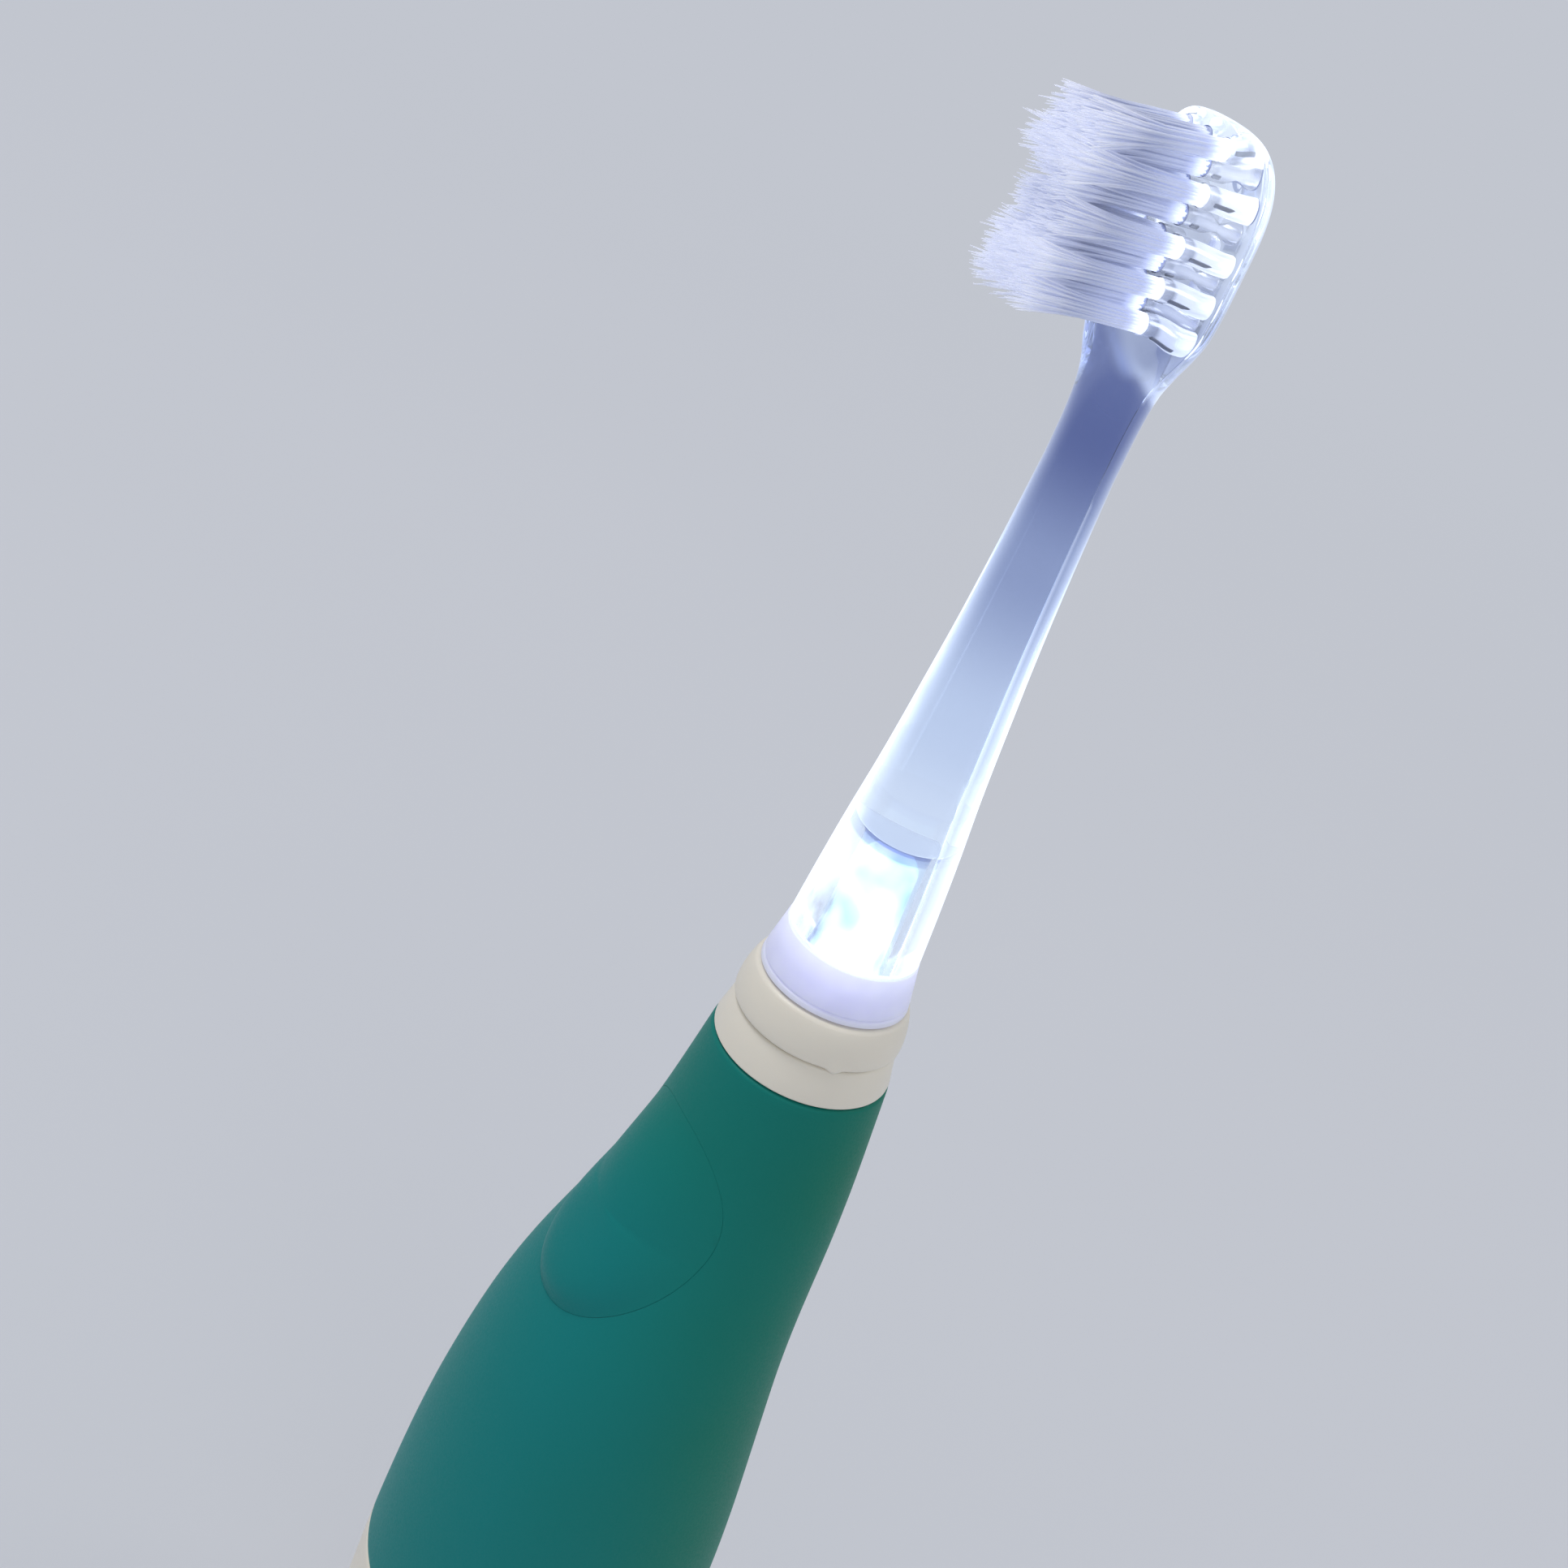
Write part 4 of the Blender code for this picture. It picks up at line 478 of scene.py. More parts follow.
@recipe
def tapered_nylon(tree):
    """Drawn nylon filament etched to a point: milky and frosted white at the tips, with a painted glow at the
    roots for the head's light and another at the tips.
    """
    tip = low("bristle_tufts").y
    face = -HEAD_FRONT
    # the nylon's tint, frosted paler at the tips, with painted light from the head making it palest at the
    # face
    tint = ladder(tree, (
        (tip, "F0F1FB"), (tip + 3.0 * MM, "DADEF2"), (tip + 4.6 * MM, "C6CDE8"),
        (face - 1.5 * MM, "CDD4EE"), (face, "F2F5FF")), axis="Y")
    # painted glow at the tips, and below at the roots near the face
    tips = ladder(tree, ((tip, 0.17), (tip + 2.6 * MM, 0.10), (tip + 4.4 * MM, 0.02), (face, 0.02)), axis="Y")
    roots = ladder(tree, (
        (tip, 0.0), (tip + 3.0 * MM, 0.03), (tip + 4.6 * MM, 0.09), (face - 2 * MM, 0.16),
        (face, 0.5)), axis="Y")
    # painted light: the near column stands in the light and glows more, and what shows between its tufts is
    # dimmer
    across = ladder(tree, (
        (-4 * MM, 0.9), (0.0, 0.4), (1.3 * MM, 0.5), (1.9 * MM, 1.1), (4 * MM, 1.2)), axis="X")
    return dict(
        base_color=tint, emission_color="E0E8F9",
        emission_strength=add(tree, "Math", {0: roots, 1: across, 2: tips}, operation="MULTIPLY_ADD"),
        ior=1.53, roughness=0.42, transmission_weight=0.2,
        subsurface_weight=0.3, subsurface_radius=(1.0, 1.0, 1.1), subsurface_scale=0.5 * MM)


@recipe
def packed_nylon(tree):
    """Folded filaments wedged in their hole: a solid bar in painted light, white and glowing in the near
    column and dull grey-blue in the others.
    """
    streak = grain(tree, 0.25 * MM, scale=(1.0, 0.1, 1.0))
    # painted light and shade: dull grey-blue where the light is weak, white with a painted glow in the near
    # column
    dull = add(tree, "Mix", {"Factor": streak, "A": "8E9BC8", "B": "B2BCE0"}, data_type="RGBA")
    bright = clouded(tree, streak, "FFFFFF", "DDE4FA")
    near = painted_light_by_column(tree)
    light = add(tree, "MapRange", {"Value": streak, "To Min": 0.5, "To Max": 0.85, **MIDDLE})
    return dict(
        base_color=add(tree, "Mix", {"Factor": near, "A": dull, "B": bright}, data_type="RGBA"),
        emission_color="F4F8FF",
        emission_strength=add(tree, "Math", {0: light, 1: near}, operation="MULTIPLY"),
        ior=1.53, roughness=0.4)


@recipe
def plain_metal(tree, colour, roughness, direction=(1.0, 1.0, 1.0), size=0.4 * MM):
    """Metal that was rolled, drawn or pressed: bright, with fine marks along its working direction."""
    marks = grain(tree, size, 3.0, direction)
    return dict(base_color=clouded(tree, marks, colour, toned(colour, 0.82)), metallic=1.0,
                **gloss(tree, marks, roughness * 0.8, roughness * 1.3, 0.003 * MM))


@recipe
def plain_polymer(tree, colour, roughness, size=0.4 * MM):
    """Plastic or rubber from an eroded mould: slightly clouded, its gloss broken by fine grain."""
    return dict(base_color=clouded(tree, grain(tree, 8 * MM), colour, toned(colour, 0.85)), ior=1.5,
                **gloss(tree, grain(tree, size), roughness * 0.85, roughness * 1.15, 0.006 * MM))


@recipe
def cell_sleeve(tree):
    """Shrunk PVC sleeve of a dry cell: glossy, dark, with a plain pale band round its positive end."""
    band = CELL_TIP - 12 * MM
    tint = ladder(tree, (
        (CELL_FOOT, "2C3442"), (band - 0.1 * MM, "343D4E"), (band, "B9BEC6"),
        (CELL_TIP, "C6CAD1")))
    crease = grain(tree, 0.8 * MM, scale=(1.0, 1.0, 0.2))
    return dict(base_color=tint, **gloss(tree, crease, 0.22, 0.36, 0.006 * MM), ior=1.53, coat_weight=0.3)


@recipe
def circuit_laminate(tree):
    """Glass-epoxy board under green lacquer: the weave shows faintly through it."""
    weave = add(tree, "TexBrick", {
        "Vector": add(tree, "TexCoord").outputs["Object"], "Scale": 1 / (0.6 * MM), "Mortar Size": 0.03,
        "Color1": "1C6B3C", "Color2": "175C33", "Mortar": "124A29"})
    return dict(base_color=weave, ior=1.55, roughness=0.32)


# Making a piece

def show(name, data):
    """A new object of the scene that holds the given data."""
    made = bpy.data.objects.new(name, data)
    bpy.context.scene.collection.objects.link(made)
    return made


def mesh_of(name, shape):
    """A bmesh turned into a mesh."""
    mesh = bpy.data.meshes.new(name)
    shape.to_mesh(mesh)
    shape.free()
    return mesh


def finish_piece(name, shape, materials, body, replaced=(), sharp=35):
    """Turns a bmesh into the named piece, lets it ride on its body and stand for its solid."""
    piece = show(name, mesh_of(name, shape))
    for material in materials if isinstance(materials, list) else [materials]:
        piece.data.materials.append(material)
    piece.data.shade_smooth()
    piece.data.set_sharp_from_angle(angle=math.radians(sharp))
    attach(piece, body)
    if replaced:
        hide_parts(*replaced)


def outward(shape):
    """Closes seams and poles, and turns every face outwards."""
    bmesh.ops.remove_doubles(shape, verts=shape.verts, dist=0.0005 * MM)
    bmesh.ops.recalc_face_normals(shape, faces=shape.faces)
    return shape


def soften(shape, width, angle=30, segments=3):
    """Rounds every edge that is sharper than an angle."""
    sharp = [edge for edge in shape.edges
             if edge.is_manifold and edge.calc_face_angle() > math.radians(angle)]
    bmesh.ops.bevel(shape, geom=sharp, offset=width, offset_type="OFFSET", affect="EDGES",
                    segments=segments, profile=0.5, material=-1, clamp_overlap=True)
    return shape


def turned(outline, sides=96, shift=0.0, closed=False):
    """An outline of radii and heights spun round the vertical axis."""
    shape = bmesh.new()
    points = [shape.verts.new((radius, shift, height)) for radius, height in outline]
    ends = points[1:] + points[:1] if closed else points[1:]
    edges = [shape.edges.new(pair) for pair in zip(points, ends)]
    bmesh.ops.spin(shape, geom=points + edges, cent=(0, shift, 0), axis=(0, 0, 1), angle=FULL_TURN,
                   steps=sides, use_merge=True)
    return outward(shape)


def drawn_out(shape, edges, place=None, pole=None):
    """A loop of edges extruded to the next place, or drawn together to a point. Gives back the new edges."""
    made = bmesh.ops.extrude_edge_only(shape, edges=edges)["geom"]
    verts = [part for part in made if isinstance(part, bmesh.types.BMVert)]
    if pole is not None:
        bmesh.ops.pointmerge(shape, verts=verts, merge_co=pole)
        return []
    turn = shape.verts.layers.float["turn"]
    for vert in verts:
        vert.co = place(vert[turn])
    return [part for part in made if isinstance(part, bmesh.types.BMEdge)]


def lofted(places, sides, first_pole=None, last_pole=None, closed=False):
    """A loop drawn from each place to the next, and together to a point at an end that has a pole."""
    shape = bmesh.new()
    turn = shape.verts.layers.float.new("turn")
    for step, vert in enumerate(bmesh.ops.create_circle(shape, segments=sides, radius=1.0)["verts"]):
        vert[turn] = FULL_TURN * step / sides
        vert.co = places[0](vert[turn])
    edges = list(shape.edges)
    if first_pole is not None:
        drawn_out(shape, edges, pole=first_pole)
    for place in places[1:] + (places[:1] if closed else []):
        edges = drawn_out(shape, edges, place)
    if last_pole is not None:
        drawn_out(shape, edges, pole=last_pole)
    return outward(shape)


def round_ring(radius, height, shift=0.0):
    """Where the points of a level circle go."""
    return lambda turn: Vector((radius * math.cos(turn), shift + radius * math.sin(turn), height))


def lying_cylinder(shape, radius, start, end, x, height, sides):
    """Adds a cylinder along Y from one depth to another, and gives back its points."""
    place = Matrix.Translation((x, (start + end) / 2, height)) @ Matrix.Rotation(QUARTER_TURN, 4, "X")
    return bmesh.ops.create_cone(shape, cap_ends=True, segments=sides, radius1=radius, radius2=radius,
                                 depth=end - start, matrix=place)["verts"]


def cut_from(shape, cutter, slots=1):
    """One bmesh less another, by an exact boolean that leaves every face its material slot."""
    kept, tool = (show(name, mesh_of(name, source)) for name, source in (("kept", shape), ("cutter", cutter)))
    for part in (kept, tool):
        for _ in range(slots):
            part.data.materials.append(None)
    boolean = kept.modifiers.new("cut", "BOOLEAN")
    boolean.operation = "DIFFERENCE"
    boolean.solver = "EXACT"
    boolean.object = tool
    bpy.context.view_layer.update()
    result = bmesh.new()
    result.from_object(kept, bpy.context.evaluated_depsgraph_get())
    for part in (kept, tool):
        bpy.data.objects.remove(part)
    return result


def strands(lines, sides=1):
    """Tubes of changing thickness along many lines of points and radii, as one bmesh."""
    curve = bpy.data.curves.new("lines", "CURVE")
    curve.dimensions = "3D"
    curve.bevel_depth = 1.0
    curve.bevel_resolution = sides
    curve.use_fill_caps = True
    for line in lines:
        spline = curve.splines.new("POLY")
        spline.points.add(len(line) - 1)
        for point, (place, radius) in zip(spline.points, line):
            point.co = (*place, 1.0)
            point.radius = radius
    holder = show("lines", curve)
    bpy.context.view_layer.update()
    mesh = bpy.data.meshes.new_from_object(holder.evaluated_get(bpy.context.evaluated_depsgraph_get()))
    bpy.data.objects.remove(holder)
    shape = bmesh.new()
    shape.from_mesh(mesh)
    return outward(shape)


# Shapes of the handle

def smooth_through(rows, share, column):
    """Value of a table of shares at one share, on a curve that never overshoots its points."""
    last = len(rows) - 1
    share = min(max(share, rows[0][0]), rows[last][0])
    at = max(index for index in range(last) if index == 0 or share > rows[index][0])

    def rise(index):
        return (rows[index + 1][column] - rows[index][column]) / (rows[index + 1][0] - rows[index][0])

    slopes = []
    for index in (at, at + 1):
        before, after = rise(max(index - 1, 0)), rise(min(index, last - 1))
        slopes.append(0 if before * after <= 0 else 2 * before * after / (before + after))
    width = rows[at + 1][0] - rows[at][0]
    t = (share - rows[at][0]) / width
    return (rows[at][column] * (1 + 2 * t) * (1 - t) ** 2 + rows[at + 1][column] * t * t * (3 - 2 * t)
            + slopes[0] * width * t * (1 - t) ** 2 - slopes[1] * width * t * t * (1 - t))


def eased(rows, share, column):
    """The same value, evened out over a short stretch so that the outline shows no kink."""
    reach = min(0.06, share, 1 - share) if 0 < share < 1 else 0.0
    steps = [reach * step / 3 for step in range(-3, 4)]
    return sum(smooth_through(rows, share + step, column) for step in steps) / len(steps)


def handle_radius(height):
    share = eased(HANDLE_SHARES, height / COLLAR_FOOT, 1)
    return COLLAR_FOOT_RADIUS + (BELLY_RADIUS - COLLAR_FOOT_RADIUS) * share


def handle_shift(height):
    return -BELLY_SHIFT * eased(HANDLE_SHARES, height / COLLAR_FOOT, 2)


def skin(height, inset=0.0):
    """Where the points of one section of the handle's outer skin go."""
    return round_ring(handle_radius(height) - inset, height, handle_shift(height))


def front_skin(x, height):
    """Depth of the handle's front at a place beside its middle."""
    return handle_shift(height) - math.sqrt(handle_radius(height) ** 2 - x ** 2)


def levels(start, end, count):
    """Even steps from one value to another, both included."""
    return [start + (end - start) * step / count for step in range(count + 1)]


def rolled_edge(height, radius, upwards):
    """Heights and insets of the rounding at a free edge, from the wall to the edge."""
    sign = 1 if upwards else -1
    return [(height - sign * radius * (1 - math.sin(turn)), radius * (1 - math.cos(turn)))
            for turn in levels(0, QUARTER_TURN, 5)[1:]]


def squared_reach(across, up, power):
    """How far a squared circle of radius 1 reaches in a direction."""
    return 1 / (abs(across) ** power + abs(up) ** power) ** (1 / power)


def button_point(turn, share, grow=0.0):
    """X and height of a point of the button's oval, at a share of the way out to its rim."""
    across, up = math.cos(turn), math.sin(turn)
    reach = squared_reach(across, up, BUTTON_POWER) * share
    half_width, half_length = BUTTON_HALF_WIDTH + grow, BUTTON_HALF_LENGTH + grow
    return half_width * reach * across, BUTTON_HEIGHT + half_length * reach * up


# Shapes of the brush head

def rounding(part, height):
    """How much of its width, front or back the head still has at a height of its rounded tip."""
    share = (height - HEAD_FOOT) / HEAD_LENGTH
    up_tip = min(max((share - TIP_START) / (1 - TIP_START), 0.0), 1.0)
    power = TIP_SQUARENESS[part]
    return (1 - up_tip ** power) ** (1 / power)


def grown(full, height):
    """A half width or depth that grows from the neck's to the head's."""
    share = (height - HEAD_FOOT) / HEAD_LENGTH
    return NECK_TOP_RADIUS + (full - NECK_TOP_RADIUS) * smooth_through(FLARE_SHARES, share, 1)


def head_half_width(height):
    return grown(HEAD_WIDTH / 2, height) * rounding("width", height)


def head_front(height):
    return grown(HEAD_FRONT, height) * (TIP_FRONT_SHARE + (1 - TIP_FRONT_SHARE) * rounding("front", height))


def head_back(height):
    return grown(HEAD_BACK, height) * (TIP_BACK_SHARE + (1 - TIP_BACK_SHARE) * rounding("back", height))


def seam_turn(turn):
    """Draws the two neighbours of each parting line close to it, so that the line stands as a fine ridge."""
    step = FULL_TURN / NECK_SIDES
    for side in (0.0, HALF_TURN, FULL_TURN):
        away = turn - side
        if 0.5 * step < abs(away) < 1.5 * step:
            return side + math.copysign(SEAM_ANGLE, away)
    return turn


def neck_section(height, seam):
    """Where the points of a neck or head section go: flat in front, round behind, a seam at each side."""
    if height <= HEAD_FOOT:
        taper = smooth_through(NECK_SHARES, (height - NECK_FOOT) / NECK_LENGTH, 1)
        half = front = back = NECK_TOP_RADIUS + (NECK_FOOT_RADIUS - NECK_TOP_RADIUS) * taper
        flatness = 0.0
    else:
        half, front, back = head_half_width(height), head_front(height), head_back(height)
        flatness = smooth_through(FLARE_SHARES, (height - HEAD_FOOT) / HEAD_LENGTH, 2)

    def place(turn):
        turn = seam_turn(turn)
        across, deep = math.cos(turn), math.sin(turn)
        reach = squared_reach(across, deep, 2 + ((BACK_POWER if deep > 0 else FRONT_POWER) - 2) * flatness)
        ridge = seam if abs(across) > 1 - 1e-9 else 0.0
        depth = (back - front) / 2 + (back + front) / 2 * reach * deep
        return Vector(((half * reach + ridge) * across, depth, height))
    return place


def tuft_places():
    """X, height and row of each tuft's middle."""
    places = []
    for row, count in enumerate(TUFT_ROWS):
        share = FIRST_ROW + (LAST_ROW - FIRST_ROW) * row / (len(TUFT_ROWS) - 1)
        for column in range(count):
            height = HEAD_FOOT + HEAD_LENGTH * share + ROW_SHIFTS[row] * MM
            places.append((COLUMN_PITCH * (column - (count - 1) / 2), height, row))
    return places


def hole_end(height):
    """Depth at which the tuft hole at a height ends."""
    return head_back(height + HOLE_RADIUS) * HOLE_DEPTH_SHARE


# Properties that a user would change

def length(name, description, default, least, most):
    """A length, its default and limits given in millimetres."""
    return FloatProperty(name=name, description=description, default=default * MM, min=least * MM,
                         max=most * MM, unit="LENGTH", precision=6)


def dye(name, description, code):
    """A colour, its default given in hex digits."""
    return FloatVectorProperty(name=name, description=description, default=srgb(code), min=0.0, max=1.0,
                               subtype="COLOR", size=4)


class ToothbrushSizes(bpy.types.PropertyGroup):
    """Sizes of the details that the frame leaves open."""
    strand_radius: length(
        "Filament radius", "Half the thickness of one bristle filament at its root", 0.08, 0.03, 0.2)
    strands_per_tuft: IntProperty(
        name="Filaments per tuft", description="How many filaments stand in each tuft",
        default=66, min=8, max=90)
    strand_length: length(
        "Filament length", "From the face of the head to the tips, before each row's step", 10.3, 4, 12)
    button_dome: length("Button dome", "How far the button's middle stands out of the grip", 1.6, 0, 3)
    button_seam: length("Button seam", "Room between the button and the grip round it", 0.025, 0.02, 0.4)
    parting_line: length(
        "Parting line", "How proud the mould's parting line stands on the clear neck", 0.05, 0, 0.2)
    edge_round: length("Edge rounding", "Radius at the edges of the moulded pieces", 0.3, 0.05, 0.6)


class ToothbrushColours(bpy.types.PropertyGroup):
    """Colours of the visible pieces."""
    grip: dye("Grip", "Dye of the soft grip and button", "007A79")
    # the grip shade is the greener tone of the painted light on the grip's back, and the tone its dye drifts
    # to
    grip_shade: dye("Grip shade", "Deeper tone that the grip's dye drifts to", "006F58")
    shell: dye("Shell", "Ivory of the collar, nose and battery cover", "E6E0D2")
    head_ring: dye("Head ring", "Lavender of the translucent ring", "D2D4EC")
    floor: dye("Floor", "Pale floor under the toothbrush", "C9CCD3")
    backdrop: dye("Backdrop", "Tone that the floor passes into far off", "C2C6CF")


def sizes():
    return bpy.context.scene.toothbrush_sizes


def colours():
    return bpy.context.scene.toothbrush_colours


# Operators, one for each piece or group of like pieces

class TOOTHBRUSH_OT_stage(bpy.types.Operator):
    """Lay the pale floor, hang the soft lamps and set up the camera"""
    bl_idname = "toothbrush.stage"
    bl_label = "Stage"

    FLOOR_HALF = 6.0
    # distances between which the floor passes into the backdrop
    FADE = {"From Min": 0.22, "From Max": 0.9}
    # name, place, size and power in watts
    SOFTBOXES = (
        ("key_softbox", (-0.7, -0.9, 2.6), 0.9, 24.0),
        ("fill_softbox", (2.1, -0.5, 1.2), 1.6, 3.0),
        ("rim_softbox", (0.5, 2.0, 1.6), 1.2, 6.0))
    LAMP_AIM = Vector((0, 0, 100 * MM))
    CAMERA_TURN = math.radians(52)
    CAMERA_RISE = math.radians(26.8)
    CAMERA_ROLL = math.radians(23.7)
    CAMERA_DISTANCE = 149 * MM
    CAMERA_AIM = Vector((-1.13 * MM, -11.77 * MM, 117.42 * MM))
    FOCAL_SHARE = 2500 / 1932      # focal length over the width of the frame

    def execute(self, context):
        self.floor()
        self.sky(context.scene)
        self.lamps()
        self.camera(context.scene)
        return {"FINISHED"}

    def floor(self):
        shape = bmesh.new()
        bmesh.ops.create_grid(shape, x_segments=1, y_segments=1, size=self.FLOOR_HALF)
        floor = show("floor", mesh_of("floor", shape))
        material = seamless_paper("seamless_paper", colours().floor)
        floor.data.materials.append(material)
        # far off, the paper passes into the tone behind it, so that no horizon shows
        tree = material.node_tree
        away = add(tree, "VectorMath", {0: add(tree, "TexCoord").outputs["Object"]}, operation="LENGTH")
        far = add(tree, "MapRange", {"Value": away, **self.FADE}, interpolation_type="SMOOTHSTEP")
        part = add(tree, "Math", {0: far, 1: looked_at(tree)}, operation="MULTIPLY")
        beyond = add(tree, "Emission", {"Color": colours().backdrop, "Strength": 1.0})
        mix = add(tree, "MixShader", {0: part, 1: tree.nodes["Principled BSDF"], 2: beyond})
        tree.links.new(mix.outputs[0], tree.nodes["Material Output"].inputs["Surface"])

    def sky(self, scene):
        scene.world = bpy.data.worlds.new("studio")
        scene.world.use_nodes = True
        tree = scene.world.node_tree
        tree.nodes.clear()
        # past the floor the camera sees the tone that the floor passes into
        light = add(tree, "Background", {"Color": "EDEFF4", "Strength": 0.70})
        beyond = add(tree, "Background", {"Color": colours().backdrop, "Strength": 1.0})
        mix = add(tree, "MixShader", {0: looked_at(tree), 1: light, 2: beyond})
        add(tree, "OutputWorld", {"Surface": mix})

    def lamps(self):
        for name, place, size, power in self.SOFTBOXES:
            lamp = bpy.data.lights.new(name, "AREA")
            lamp.shape = "DISK"
            lamp.size = size
            lamp.energy = power
            lamp.color = (1.0, 0.99, 0.97)
            holder = show(name, lamp)
            holder.location = place
            holder.rotation_euler = (Vector(place) - self.LAMP_AIM).to_track_quat("Z", "Y").to_euler()

    def camera(self, scene):
        outward_way = Vector((
            math.sin(self.CAMERA_TURN) * math.cos(self.CAMERA_RISE),
            -math.cos(self.CAMERA_TURN) * math.cos(self.CAMERA_RISE), math.sin(self.CAMERA_RISE)))
        level = (-outward_way).cross(Vector((0, 0, 1))).normalized()
        upright = outward_way.cross(level)
        right = level * math.cos(self.CAMERA_ROLL) + upright * math.sin(self.CAMERA_ROLL)
        up = upright * math.cos(self.CAMERA_ROLL) - level * math.sin(self.CAMERA_ROLL)
        place = self.CAMERA_AIM + outward_way * self.CAMERA_DISTANCE
        lens = bpy.data.cameras.new("camera")
        lens.sensor_fit = "HORIZONTAL"
        lens.lens = lens.sensor_width * self.FOCAL_SHARE
        lens.clip_start = 5 * MM
        lens.clip_end = 30.0
        camera = show("camera", lens)
        camera.matrix_world = Matrix((
            (right.x, up.x, outward_way.x, place.x), (right.y, up.y, outward_way.y, place.y),
            (right.z, up.z, outward_way.z, place.z), (0, 0, 0, 1)))
        scene.camera = camera
        scene.view_settings.view_transform = "Standard"


class TOOTHBRUSH_OT_brush_neck(bpy.types.Operator):
    """Mould the clear neck and head, with the socket below and the tuft holes above"""
    bl_idname = "toothbrush.brush_neck"
    bl_label = "Clear Neck and Head"

    ROOF_ROUND = 0.12 * MM
    HOLE_ROUND = 0.22 * MM
    ARC_DROP = 5.5 * MM        # how far below the tip the rounded ends of the holes still show as arcs

    def execute(self, context):
        shape = soften(self.body(), 0.14 * MM, angle=50)
        for face in shape.faces:
            centre = face.calc_center_median()
            in_socket = centre.z < SOCKET_ROOF + 0.01 * MM and centre.xy.length < SOCKET_FOOT_RADIUS
            face.material_index = 1 if in_socket else 0
        cutter = self.holes()
        for face in cutter.faces:
            at_rim = 0.2 < face.normal.y < 0.98 and face.calc_center_median().z > HEAD_TIP - self.ARC_DROP
            face.material_index = 3 if at_rim else 2
        materials = [
            clear_copolyester("copolyester_polished"), lit_socket_wall("copolyester_socket_wall_lit"),
            tuft_hole_wall("copolyester_tuft_hole_wall"), tuft_hole_rim("copolyester_tuft_hole_rim")]
        finish_piece("clear_neck", cut_from(shape, cutter, len(materials)), materials,
                     "head", ["brush_neck"], sharp=45)
        return {"FINISHED"}

    def body(self):
        """Lofted from the socket's roof down its wall, out to the skin, and up to the tip."""
        places = [round_ring(SOCKET_TOP_RADIUS * share, SOCKET_ROOF) for share in (0.4, 0.7)]
        for turn in levels(0, QUARTER_TURN, 4):
            places.append(round_ring(SOCKET_TOP_RADIUS - self.ROOF_ROUND * (1 - math.sin(turn)),
                                     SOCKET_ROOF - self.ROOF_ROUND * (1 - math.cos(turn))))
        for height in levels(SOCKET_ROOF - self.ROOF_ROUND - 0.5 * MM, SOCKET_FOOT, 10):
            taper = (SOCKET_TOP_RADIUS - SOCKET_FOOT_RADIUS) * (height - SOCKET_FOOT) / SOCKET_DEPTH
            places.append(round_ring(SOCKET_FOOT_RADIUS + taper, height))
        places += [round_ring(SPIGOT_RADIUS, SOCKET_FOOT), round_ring(SPIGOT_RADIUS, NECK_FOOT)]
        seam = sizes().parting_line
        tip_foot = HEAD_FOOT + HEAD_LENGTH * TIP_START
        heights = levels(NECK_FOOT, HEAD_FOOT, 48) + levels(HEAD_FOOT, tip_foot, 40)[1:]
        places += [neck_section(height, seam) for height in heights]
        for turn in levels(0, QUARTER_TURN, 28)[1:-1]:
            height = tip_foot + (HEAD_TIP - tip_foot) * math.sin(turn)
            places.append(neck_section(height, seam * math.cos(turn)))
        tip_depth = (HEAD_BACK * TIP_BACK_SHARE - HEAD_FRONT * TIP_FRONT_SHARE) / 2
        return lofted(places, NECK_SIDES, Vector((0, 0, SOCKET_ROOF)), Vector((0, tip_depth, HEAD_TIP)))

    def holes(self):
        """Cylinders from in front of the face to the ends of the tuft holes, rounded there."""
        cutter = bmesh.new()
        for x, height, _ in tuft_places():
            lying_cylinder(cutter, HOLE_RADIUS, -HEAD_FRONT - 1.5 * MM, hole_end(height), x, height, 28)
        bmesh.ops.recalc_face_normals(cutter, faces=cutter.faces)
        ends = [edge for edge in cutter.edges
                if edge.calc_face_angle() > 1 and edge.verts[0].co.y > -HEAD_FRONT]
        bmesh.ops.bevel(cutter, geom=ends, offset=self.HOLE_ROUND, offset_type="OFFSET", affect="EDGES",
                        segments=2, profile=0.5, material=-1)
        cutter.normal_update()
        return cutter


